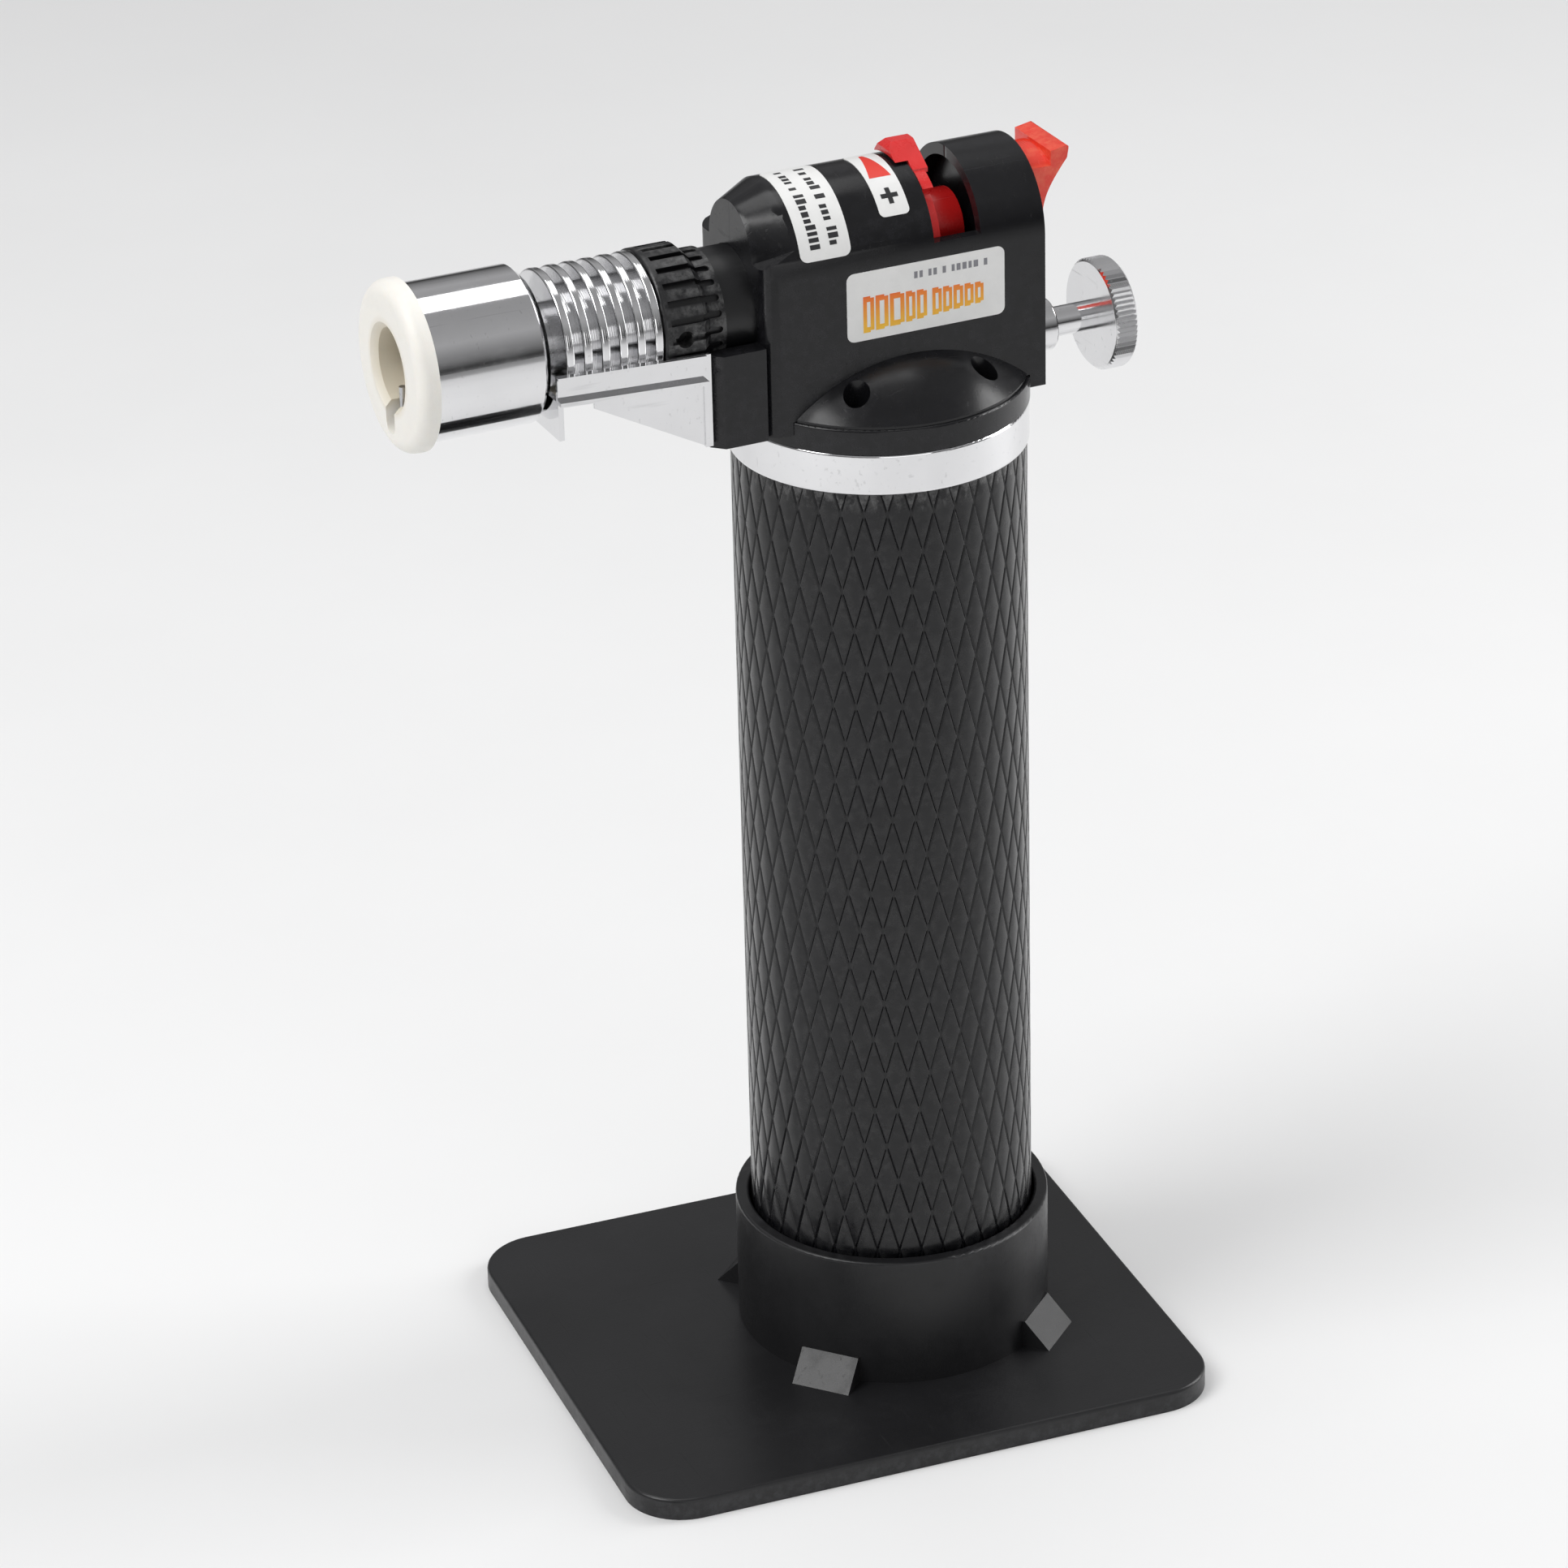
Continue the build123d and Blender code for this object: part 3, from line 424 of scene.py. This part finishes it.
def make_finishes(colours):
    EFFECTS["surface_grain"] = make_grain()
    EFFECTS["hairline_scratches"] = make_scratches()
    EFFECTS["handling_marks"] = make_smudges()
    EFFECTS["edge_wear"] = make_edge_wear()
    housing = tuple(colours.housing)
    chrome = tuple(colours.chrome)
    tank = tuple(colours.tank)
    button = tuple(colours.button)
    dark_metal = shade(housing, 0.9)
    rubber = (0.02, 0.02, 0.02)
    # plastic: colour, roughness, grain's fineness and depth, wear, marks, worn colour, coat, specular
    # plated: colour, roughness, height of the turned rings' axis, tarnish
    MATERIALS.update(
        stand_plastic=plastic(
            "stand_plastic", tuple(colours.stand), 0.32, 3600.0, 0.010 * MM, 0.9, 0.5, specular=0.4
        ),
        black_plastic=plastic("black_plastic", housing, 0.2, 5200.0, 0.005 * MM, 0.5, 0.35, specular=0.35),
        knurled_tube=plastic(
            "knurled_tube", tank, 0.22, 4600.0, 0.006 * MM, 0.8, 0.4, (0.11, 0.11, 0.11), 0.1, 0.34
        ),
        black_metal=plastic(
            "black_metal", dark_metal, 0.34, 6000.0, 0.006 * MM, 0.9, 0.3, (0.09, 0.09, 0.09)
        ),
        chrome=plated("chrome", chrome, 0.07),
        turned_chrome=plated("turned_chrome", chrome, 0.13, BARREL_Z),
        knob_chrome=plated("knob_chrome", chrome, 0.16, NEEDLE_Z),
        brass=plated("brass", (0.62, 0.42, 0.16), 0.24, BARREL_Z, 0.6),
        steel=plated("steel", (0.52, 0.52, 0.53), 0.24, None, 0.5),
        ceramic=fired_ceramic("ceramic", tuple(colours.ceramic)),
        seal_rubber=plastic("seal_rubber", rubber, 0.6, 3000.0, 0.01 * MM, 0.1, 0.3),
        clear_plastic=plastic("clear_plastic", (0.62, 0.62, 0.56), 0.3, 3000.0, 0.004 * MM, 0.1, 0.3),
        piezo_plastic=plastic("piezo_plastic", (0.22, 0.22, 0.24), 0.4, 3600.0, 0.008 * MM, 0.3, 0.3),
        lead_cover=plastic("lead_cover", (0.55, 0.50, 0.40), 0.4, 2600.0, 0.008 * MM, 0.1, 0.5),
        button_plastic=plastic(
            "button_plastic", button, 0.22, 5200.0, 0.005 * MM, 0.5, 0.4, (0.86, 0.16, 0.08), 0.3
        ),
        dial_plastic=plastic(
            "dial_plastic", tuple(colours.dial), 0.24, 5200.0, 0.005 * MM, 0.5, 0.4, (0.74, 0.05, 0.05), 0.3
        ),
        label_paper=printed_film("label_paper", tuple(colours.label), 0.32),
        black_ink=printed_film("black_ink", (0.02, 0.02, 0.022), 0.34),
        grey_ink=printed_film("grey_ink", (0.22, 0.22, 0.24), 0.34),
        red_ink=printed_film("red_ink", (0.72, 0.035, 0.02), 0.3),
        orange_ink=sunset_print("orange_ink"),
    )


# ---------------------------------------------------------------- finishing a CAD node
def finish_node(name, material, edge=0.0):
    """Give a CAD node its finish and, where asked, small rounded edges that catch the light."""
    node = NODES[name]
    node.data.materials.clear()
    node.data.materials.append(MATERIALS[material])
    if edge > 0:
        weld = node.modifiers.new("join_corners", "WELD")
        weld.merge_threshold = WELD_GAP
        bevel = node.modifiers.new("rounded_edges", "BEVEL")
        bevel.width = edge
        bevel.segments = 3
        bevel.limit_method = "ANGLE"
        bevel.angle_limit = math.radians(FOLD_DEG)
        bevel.harden_normals = False
        bevel.use_clamp_overlap = True
        even = node.modifiers.new("even_shading", "WEIGHTED_NORMAL")
        even.keep_sharp = False
        even.weight = 80


def finish_nodes(table):
    """Finish each CAD node of a group: (node, material, rounding of its edges)."""
    for name, material, edge in table:
        finish_node(name, material, edge)


def new_piece(name, verts, faces, material, body):
    """Make a smooth mesh piece that rides on one of the torch's bodies."""
    mesh = bpy.data.meshes.new(name)
    mesh.from_pydata([tuple(v) for v in verts], [], faces)
    mesh.validate()
    mesh.materials.append(MATERIALS[material])
    mesh.polygons.foreach_set("use_smooth", [True] * len(mesh.polygons))
    piece = bpy.data.objects.new(name, mesh)
    bpy.context.scene.collection.objects.link(piece)
    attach(piece, body)
    return piece


# ---------------------------------------------------------------- knurled tube
def knurl_lattice(sizes):
    """Corner points and faces of raised diamonds between two sets of crossing grooves."""
    starts = sizes.knurl_starts
    height = sizes.knurl_height
    share = sizes.knurl_groove
    lip = share * LIP_END
    steps = (0.0, share, lip, 0.5, 1 - lip, 1 - share, 1.0)
    drops = (1.0, LIP_FOOT, 0.0, 0.0, 0.0, LIP_FOOT, 1.0)
    crest = TANK_HIGH.x
    low, high = TANK_LOW.z, TANK_HIGH.z
    rows = math.ceil((high - low) / (height / 2)) + 1
    points = {}
    verts = []
    faces = []

    def corner(a, b, drop):
        turn = round((a + b) / 2 % starts, 6) % starts
        level = round((a - b) / 2, 6)
        key = (turn, level)
        if key not in points:
            angle = turn * 2 * math.pi / starts
            radius = crest - drop * sizes.knurl_depth
            z = low + level * height
            points[key] = len(verts)
            verts.append((radius * math.cos(angle), radius * math.sin(angle), z))
        return points[key]

    for row in range(-1, rows + 1):
        for step in range(starts):
            i = step + (row + 1) // 2
            j = i - row
            grid = []
            for p, drop_p in zip(steps, drops):
                line = []
                for q, drop_q in zip(steps, drops):
                    line.append(corner(i + p, j + q, max(drop_p, drop_q)))
                grid.append(line)
            for m in range(len(steps) - 1):
                for n in range(len(steps) - 1):
                    faces.append((grid[m][n], grid[m + 1][n], grid[m + 1][n + 1], grid[m][n + 1]))
    return verts, faces


def trim_and_close(piece, wall):
    """Cut the lattice square at both ends and turn it in to the tube's bore."""
    bm = bmesh.new()
    bm.from_mesh(piece.data)
    bmesh.ops.recalc_face_normals(bm, faces=bm.faces)
    for level, side in ((TANK_LOW.z, -1), (TANK_HIGH.z, 1)):
        everything = bm.verts[:] + bm.edges[:] + bm.faces[:]
        bmesh.ops.bisect_plane(
            bm, geom=everything, plane_co=(0, 0, level), plane_no=(0, 0, side), clear_outer=True, dist=1e-7
        )
    bore = TANK_HIGH.x - wall
    for level in (TANK_LOW.z, TANK_HIGH.z):
        rim = [e for e in bm.edges if e.is_boundary and abs(e.verts[0].co.z - level) < ON_LEVEL]
        made = bmesh.ops.extrude_edge_only(bm, edges=rim)
        for vert in (g for g in made["geom"] if isinstance(g, bmesh.types.BMVert)):
            reach = math.hypot(vert.co.x, vert.co.y)
            vert.co.x *= bore / reach
            vert.co.y *= bore / reach
    inner = [e for e in bm.edges if e.is_boundary and e.verts[0].co.z > TANK_HIGH.z - ON_LEVEL]
    made = bmesh.ops.extrude_edge_only(bm, edges=inner)
    for vert in (g for g in made["geom"] if isinstance(g, bmesh.types.BMVert)):
        vert.co.z = TANK_LOW.z
    outward = max(bm.faces, key=lambda face: math.hypot(*face.calc_center_median().xy))
    bmesh.ops.recalc_face_normals(bm, faces=bm.faces)
    centre = outward.calc_center_median()
    if outward.normal.dot(Vector((centre.x, centre.y, 0))) < 0:
        bmesh.ops.reverse_faces(bm, faces=bm.faces)
    for face in bm.faces:
        face.smooth = True
    bm.to_mesh(piece.data)
    bm.free()
    piece.data.set_sharp_from_angle(angle=math.radians(KNURL_CREASE_DEG))


# ---------------------------------------------------------------- labels and print
def rounded_rows(x0, x1, s0, s1, corner, step):
    """Rows across a rounded rectangle: (s, left, right) from s0 to s1."""
    count = max(2, math.ceil((s1 - s0) / step))
    levels = [s0 + (s1 - s0) * k / count for k in range(count + 1)]
    if corner > 0:
        for part in range(1, CORNER_STEPS + 1):
            dip = corner * (1 - math.cos(part * math.pi / 2 / CORNER_STEPS))
            levels += [s0 + dip, s1 - dip]
    rows = []
    for s in sorted(set(round(v, 9) for v in levels)):
        gap = min(s - s0, s1 - s)
        inset = 0.0
        if gap < corner:
            inset = corner - math.sqrt(max(0.0, corner**2 - (corner - gap) ** 2))
        rows.append((s, x0 + inset, x1 - inset))
    return rows


def over_hump(radius):
    """Place (x, s) on the housing's round top: s runs along the arc from the far side to the near side."""

    def place(x, s):
        angle = s / LABEL_R
        return (x, -radius * math.sin(angle), HUMP_Z + radius * math.cos(angle))

    return place


def on_side(y):
    """Place (x, s) on the housing's flat side: s is the height."""

    def place(x, s):
        return (x, y, s)

    return place


def film(name, rows, place, sink, material, columns=2):
    """A thin film on a surface: rows of points above, the same rows sunk below, and a skirt."""
    verts = []
    for put in (place, sink):
        for s, left, right in rows:
            for k in range(columns + 1):
                verts.append(put(left + (right - left) * k / columns, s))
    wide = columns + 1
    layer = len(rows) * wide
    faces = []
    for r in range(len(rows) - 1):
        for k in range(columns):
            a = r * wide + k
            faces.append((a, a + wide, a + wide + 1, a + 1))
            faces.append((layer + a, layer + a + 1, layer + a + wide + 1, layer + a + wide))
    border = [k for k in range(wide)]
    border += [r * wide + columns for r in range(1, len(rows))]
    border += [(len(rows) - 1) * wide + k for k in range(columns - 1, -1, -1)]
    border += [r * wide for r in range(len(rows) - 2, 0, -1)]
    for first, second in zip(border, border[1:] + border[:1]):
        faces.append((first, second, layer + second, layer + first))
    piece = new_piece(name, verts, faces, material, "torch")
    bm = bmesh.new()
    bm.from_mesh(piece.data)
    bmesh.ops.recalc_face_normals(bm, faces=bm.faces)
    bm.to_mesh(piece.data)
    bm.free()
    piece.data.set_sharp_from_angle(angle=math.radians(CREASE_DEG))
    return piece


def hump_film(name, x0, x1, near_deg, far_deg, corner, material):
    """A label bent over the housing's round top."""
    s0 = -math.radians(far_deg) * LABEL_R
    s1 = math.radians(near_deg) * LABEL_R
    rows = rounded_rows(x0, x1, s0, s1, corner, ROW_STEP)
    return film(name, rows, over_hump(LABEL_R), over_hump(LABEL_R - FILM_T), material)


def join_pieces(name, pieces):
    """Make one object out of several of the same finish."""
    bm = bmesh.new()
    for piece in pieces:
        bm.from_mesh(piece.data)
    kept = pieces[0]
    bm.to_mesh(kept.data)
    bm.free()
    for piece in pieces[1:]:
        bpy.data.objects.remove(piece)
    kept.name = name
    kept.data.name = name
    kept.data.set_sharp_from_angle(angle=math.radians(CREASE_DEG))
    return kept


def print_marks(name, spots, place_pair, material):
    """Small printed blocks: each spot is (x0, x1, s0, s1)."""
    above, below = place_pair
    marks = []
    for index, (x0, x1, s0, s1) in enumerate(spots):
        rows = rounded_rows(x0, x1, s0, s1, 0.0, INK_STEP)
        marks.append(film(f"{name}_{index}", rows, above, below, material, 1))
    return join_pieces(name, marks)


# ---------------------------------------------------------------- operators
class TORCH_OT_stand(bpy.types.Operator):
    """Finish the stand and the base of the tank"""

    bl_idname = "torch.stand"
    bl_label = "Stand"

    def execute(self, context):
        finish_nodes((("stand", "stand_plastic", 0.0), ("base_cap", "black_plastic", 0.0)))
        return {"FINISHED"}


class TORCH_OT_tank(bpy.types.Operator):
    """Build the knurled tube and finish the chrome ring above it"""

    bl_idname = "torch.tank"
    bl_label = "Tank"

    def execute(self, context):
        sizes = context.scene.torch_sizes
        verts, faces = knurl_lattice(sizes)
        tube = new_piece("knurled_tank_tube", verts, faces, "knurled_tube", "torch")
        trim_and_close(tube, TANK_WALL)
        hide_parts("tank_tube")
        finish_nodes(
            (
                ("tank_tube", "knurled_tube", 0.0),
                ("collar_ring", "chrome", 0.0),
                ("base_seal", "seal_rubber", 0.0),
                ("top_seal", "seal_rubber", 0.0),
                ("top_plug", "black_plastic", 0.0),
                ("dip_tube", "clear_plastic", 0.0),
                ("fill_valve_body", "brass", 0.0),
                ("fill_valve_stem", "brass", 0.0),
                ("fill_valve_spring", "steel", 0.0),
            )
        )
        return {"FINISHED"}


class TORCH_OT_head(bpy.types.Operator):
    """Finish the head flange, the housing's two shells and their screws"""

    bl_idname = "torch.head"
    bl_label = "Head"

    def execute(self, context):
        edge = context.scene.torch_sizes.edge_round
        finish_nodes(
            (
                ("head_flange", "black_plastic", 0.0),
                ("housing_near", "black_plastic", edge),
                ("housing_far", "black_plastic", edge),
                ("flange_screws", "steel", 0.0),
                ("housing_screws", "steel", 0.0),
            )
        )
        return {"FINISHED"}


class TORCH_OT_barrel(bpy.types.Operator):
    """Finish the barrel: tube, air collar, fins, flame sleeve and ceramic ring"""

    bl_idname = "torch.barrel"
    bl_label = "Barrel"

    def execute(self, context):
        finish_nodes(
            (
                ("barrel_tube", "black_metal", 0.0),
                ("air_collar", "black_metal", 0.0),
                ("heat_sink", "turned_chrome", 0.0),
                ("flame_sleeve", "chrome", 0.0),
                ("mixing_tube", "steel", 0.0),
                ("flame_holder", "brass", 0.0),
                ("ceramic_ring", "ceramic", 0.0),
            )
        )
        return {"FINISHED"}


class TORCH_OT_gas_parts(bpy.types.Operator):
    """Finish the valve, regulator, jet and gas tube"""

    bl_idname = "torch.gas_parts"
    bl_label = "Gas parts"

    def execute(self, context):
        finish_nodes(
            (
                ("valve_body", "brass", 0.0),
                ("valve_seal", "seal_rubber", 0.0),
                ("gas_tube", "steel", 0.0),
                ("regulator_body", "brass", 0.0),
                ("regulator_spindle", "brass", 0.0),
                ("gas_jet", "brass", 0.0),
            )
        )
        return {"FINISHED"}


class TORCH_OT_ignition(bpy.types.Operator):
    """Finish the piezo unit, lead, electrode and the guard around them"""

    bl_idname = "torch.ignition"
    bl_label = "Ignition"

    def execute(self, context):
        finish_nodes(
            (
                ("electrode", "steel", 0.0),
                ("electrode_insulator", "ceramic", 0.0),
                ("ignition_lead", "lead_cover", 0.0),
                ("electrode_guard", "chrome", THIN_EDGE),
                ("guard_screws", "steel", 0.0),
                ("piezo_body", "piezo_plastic", 0.0),
                ("piezo_plunger", "piezo_plastic", 0.0),
            )
        )
        return {"FINISHED"}


class TORCH_OT_controls(bpy.types.Operator):
    """Finish the igniter button, flame dial and gas knob"""

    bl_idname = "torch.controls"
    bl_label = "Controls"

    def execute(self, context):
        finish_nodes(
            (
                ("igniter_button", "button_plastic", SOFT_EDGE),
                ("flame_dial", "dial_plastic", THIN_EDGE),
                ("needle_bush", "chrome", 0.0),
                ("needle_spindle", "chrome", 0.0),
                ("gas_knob", "knob_chrome", 0.0),
            )
        )
        return {"FINISHED"}


def ink_on_hump():
    """Where ink starts and ends, just above and just below a label on the round top."""
    return over_hump(LABEL_R + INK_LIFT), over_hump(LABEL_R - INK_LIFT)


# degrees each label reaches round the top: down the near side, down the far side
FRONT_ARC = (76.8, 14.8)
FLAME_ARC = (55.8, 14.8)
# how far down the round top, from its middle, each print starts and ends
FRONT_PRINT = (-1.2 * MM, 12.4 * MM)
WEDGE = (-1.6 * MM, 4.3 * MM)
WEDGE_ROWS = 15
# middle of the plus, half its length, half the width of its strokes
PLUS = (7.3 * MM, 1.15 * MM, 0.32 * MM)
STICKER_MARGIN = 2.2 * MM
# the marks' middle above the sticker's lower edge
MARK_RISE = 3.6 * MM
# small print: its start from the sticker's left, its foot and head below the upper edge
SMALL_PRINT = (9.3 * MM, 2.1 * MM, 1.2 * MM)
# plain upright marks along the sticker: width and the gap after it, millimetres
STICKER_MARKS = (
    (1.5, 0.22), (1.75, 0.22), (2.0, 0.22), (1.3, 0.22), (1.4, 0.75),
    (1.3, 0.2), (1.25, 0.2), (1.35, 0.2), (1.25, 0.2), (1.2, 0.2),
)


class TORCH_OT_labels(bpy.types.Operator):
    """Cut the labels with round corners and print their plain marks"""

    bl_idname = "torch.labels"
    bl_label = "Labels"

    def execute(self, context):
        corner = context.scene.torch_sizes.label_corner
        self.front_label(corner)
        self.flame_label(corner)
        self.side_sticker(corner)
        for name in ("label_front", "label_flame", "side_sticker"):
            finish_node(name, "label_paper")
        return {"FINISHED"}

    def front_label(self, corner):
        paper = hump_film(
            "front_label_film", FRONT_LOW.x, FRONT_HIGH.x, *FRONT_ARC, corner, "label_paper"
        )
        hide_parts("label_front")
        pair = ink_on_hump()
        chance = random.Random(SEED)
        blocks = []
        for x0 in (FRONT_LOW.x + 1.5 * MM, FRONT_LOW.x + 4.2 * MM):
            s = FRONT_PRINT[0]
            while s < FRONT_PRINT[1]:
                length = chance.uniform(0.45, 0.75) * MM
                tall = chance.choice((0.95, 0.95, 1.35)) * MM
                blocks.append((x0, x0 + tall, s, s + length))
                s += length + chance.choice((0.28, 0.28, 0.28, 0.9)) * MM
        print_marks("front_label_print", blocks, pair, "black_ink")

    def flame_label(self, corner):
        paper = hump_film(
            "flame_label_film", FLAME_LOW.x, FLAME_HIGH.x, *FLAME_ARC, corner * 0.7, "label_paper"
        )
        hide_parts("label_flame")
        pair = ink_on_hump()
        middle = (FLAME_LOW.x + FLAME_HIGH.x) / 2
        start, end = WEDGE
        rows = []
        for k in range(WEDGE_ROWS + 1):
            share = k / WEDGE_ROWS
            half = (0.25 + 1.25 * share) * MM
            rows.append((start + (end - start) * share, middle - half, middle + half))
        film("flame_label_wedge", rows, pair[0], pair[1], "red_ink", 1)
        plus, long, thin = PLUS
        spots = (
            (middle - long, middle + long, plus - thin, plus + thin),
            (middle - thin, middle + thin, plus - long, plus - thin),
            (middle - thin, middle + thin, plus + thin, plus + long),
        )
        print_marks("flame_label_plus", spots, pair, "black_ink")

    def side_sticker(self, corner):
        face = STICKER_LOW.y
        rows = rounded_rows(STICKER_LOW.x, STICKER_HIGH.x, STICKER_LOW.z, STICKER_HIGH.z, corner, 1.5 * MM)
        paper = film("side_sticker_film", rows, on_side(face), on_side(face + FILM_T), "label_paper", 6)
        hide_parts("side_sticker")
        pair = (on_side(face - INK_LIFT), on_side(face + INK_LIFT))
        left, right = STICKER_LOW.x + STICKER_MARGIN, STICKER_HIGH.x - STICKER_MARGIN
        middle = STICKER_LOW.z + MARK_RISE
        marks = []
        x = left
        for wide, gap in STICKER_MARKS:
            share = (x - left) / (right - left)
            half = (2.6 - 1.2 * share) * MM
            low, high = middle - half, middle + half * 0.85
            stem = min(wide * 0.34, 0.55) * MM
            end = x + wide * MM
            marks.append((x, x + stem, low, high))
            marks.append((end - stem, end, low + 0.25 * MM, high - 0.25 * MM))
            if end - x > 2.4 * stem:
                marks.append((x + stem, end - stem, high - 0.75 * MM, high))
                marks.append((x + stem, end - stem, low, low + 0.7 * MM))
            x = end + gap * MM
        print_marks("sticker_flame_marks", marks, pair, "orange_ink")
        chance = random.Random(SEED + 1)
        blocks = []
        start, foot, head = SMALL_PRINT
        x = STICKER_LOW.x + start
        while x < right - 0.4 * MM:
            length = chance.uniform(0.4, 0.7) * MM
            blocks.append((x, x + length, STICKER_HIGH.z - foot, STICKER_HIGH.z - head))
            x += length + chance.choice((0.28, 0.28, 0.8)) * MM
        print_marks("sticker_small_print", blocks, pair, "grey_ink")


# ---------------------------------------------------------------- stage
AIM = Vector((-0.0145, 0.0, 0.0855))
EYE = Vector((-0.3039, -0.6398, 0.4330))
ROLL_DEG = -1.46
LENS = 138.0
SENSOR = 36.0
FLOOR_HALF = 6.0
# name, place, size, watts
LIGHTS = (
    ("key_light", (-0.72, -0.05, 0.86), (0.5, 0.7), 6.6),
    ("rim_light", (0.86, -0.12, 0.42), (0.35, 0.8), 5.5),
    ("front_light", (-0.1, -1.0, 0.3), (0.7, 0.4), 1.3),
    ("top_light", (0.0, 0.35, 1.25), (0.9, 0.6), 4.0),
)
# how bright the studio is from straight down (0) to straight up (1)
SKY_TONES = ((0.0, 0.42), (0.49, 0.26), (0.53, 0.08), (0.62, 0.42), (0.8, 0.95), (1.0, 0.75))
SKY_STRENGTH = 0.45


def soft_light(name, place, size, watts):
    """An oblong softbox that faces the middle of the view."""
    lamp = bpy.data.lights.new(name, "AREA")
    lamp.shape = "RECTANGLE"
    lamp.size, lamp.size_y = size
    lamp.energy = watts
    item = bpy.data.objects.new(name, lamp)
    bpy.context.scene.collection.objects.link(item)
    item.location = place
    item.rotation_euler = (AIM - Vector(place)).to_track_quat("-Z", "Y").to_euler()


def pale_floor():
    """A plain pale floor under the stand."""
    material, tree, shader = blank_material("pale_floor")
    grain = place_effect(tree, "surface_grain", Grain_scale=500.0, Drift_scale=6.0)
    tone = mix_colour(tree, grain.outputs["Drift"], (0.80, 0.80, 0.80), (0.83, 0.83, 0.83))
    tree.links.new(tone, shader.inputs["Base Color"])
    shader.inputs["Roughness"].default_value = 0.7
    mesh = bpy.data.meshes.new("floor")
    half = FLOOR_HALF
    ends = [(-half, -half, 0), (half, -half, 0), (half, half, 0), (-half, half, 0)]
    mesh.from_pydata(ends, [], [(0, 1, 2, 3)])
    mesh.materials.append(material)
    floor = bpy.data.objects.new("floor", mesh)
    bpy.context.scene.collection.objects.link(floor)


def studio_world():
    """Soft light from all round, dark at the horizon and bright above."""
    world = bpy.data.worlds.new("studio")
    world.use_nodes = True
    tree = world.node_tree
    back = tree.nodes["Background"]
    parts = tree.nodes.new("ShaderNodeSeparateXYZ")
    tree.links.new(tree.nodes.new("ShaderNodeTexCoord").outputs["Generated"], parts.inputs[0])
    ramp = tree.nodes.new("ShaderNodeValToRGB")
    tree.links.new(spread(tree, parts.outputs["Z"], -1.0, 1.0), ramp.inputs["Fac"])
    while len(ramp.color_ramp.elements) < len(SKY_TONES):
        ramp.color_ramp.elements.new(0.5)
    for element, (place, tone) in zip(ramp.color_ramp.elements, SKY_TONES):
        element.position = place
        element.color = (tone, tone, tone * 1.01, 1)
    tree.links.new(ramp.outputs["Color"], back.inputs["Color"])
    back.inputs["Strength"].default_value = SKY_STRENGTH
    bpy.context.scene.world = world


class TORCH_OT_stage(bpy.types.Operator):
    """Lay the pale floor and set the studio lights and the camera"""

    bl_idname = "torch.stage"
    bl_label = "Stage"

    def execute(self, context):
        pale_floor()
        studio_world()
        for name, place, size, watts in LIGHTS:
            soft_light(name, place, size, watts)
        data = bpy.data.cameras.new("view")
        data.lens = LENS
        data.sensor_width = SENSOR
        data.clip_start = 0.01
        camera = bpy.data.objects.new("view", data)
        context.scene.collection.objects.link(camera)
        turn = (AIM - EYE).to_track_quat("-Z", "Y").to_matrix().to_4x4()
        roll = Matrix.Rotation(math.radians(ROLL_DEG), 4, "Z")
        camera.matrix_world = Matrix.Translation(EYE) @ turn @ roll
        context.scene.camera = camera
        context.scene.view_settings.view_transform = "Standard"
        return {"FINISHED"}


class TORCH_PT_panel(bpy.types.Panel):
    """Lists the torch's pieces"""

    bl_idname = "TORCH_PT_panel"
    bl_label = "Torch"
    bl_space_type = "VIEW_3D"
    bl_region_type = "UI"
    bl_category = "Torch"

    def draw(self, context):
        for operator in OPERATORS:
            self.layout.operator(operator.bl_idname)


OPERATORS = (
    TORCH_OT_stand,
    TORCH_OT_tank,
    TORCH_OT_head,
    TORCH_OT_barrel,
    TORCH_OT_gas_parts,
    TORCH_OT_ignition,
    TORCH_OT_controls,
    TORCH_OT_labels,
    TORCH_OT_stage,
)
CLASSES = (TorchSizes, TorchColours) + OPERATORS + (TORCH_PT_panel,)


def register():
    for item in CLASSES:
        bpy.utils.register_class(item)
    bpy.types.Scene.torch_sizes = PointerProperty(type=TorchSizes)
    bpy.types.Scene.torch_colours = PointerProperty(type=TorchColours)


def unregister():
    del bpy.types.Scene.torch_colours
    del bpy.types.Scene.torch_sizes
    for item in reversed(CLASSES):
        bpy.utils.unregister_class(item)


def main():
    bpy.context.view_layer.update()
    register()
    make_finishes(bpy.context.scene.torch_colours)
    for operator in OPERATORS:
        group, name = operator.bl_idname.split(".")
        getattr(getattr(bpy.ops, group), name)()


if __name__ == "__main__":
    main()
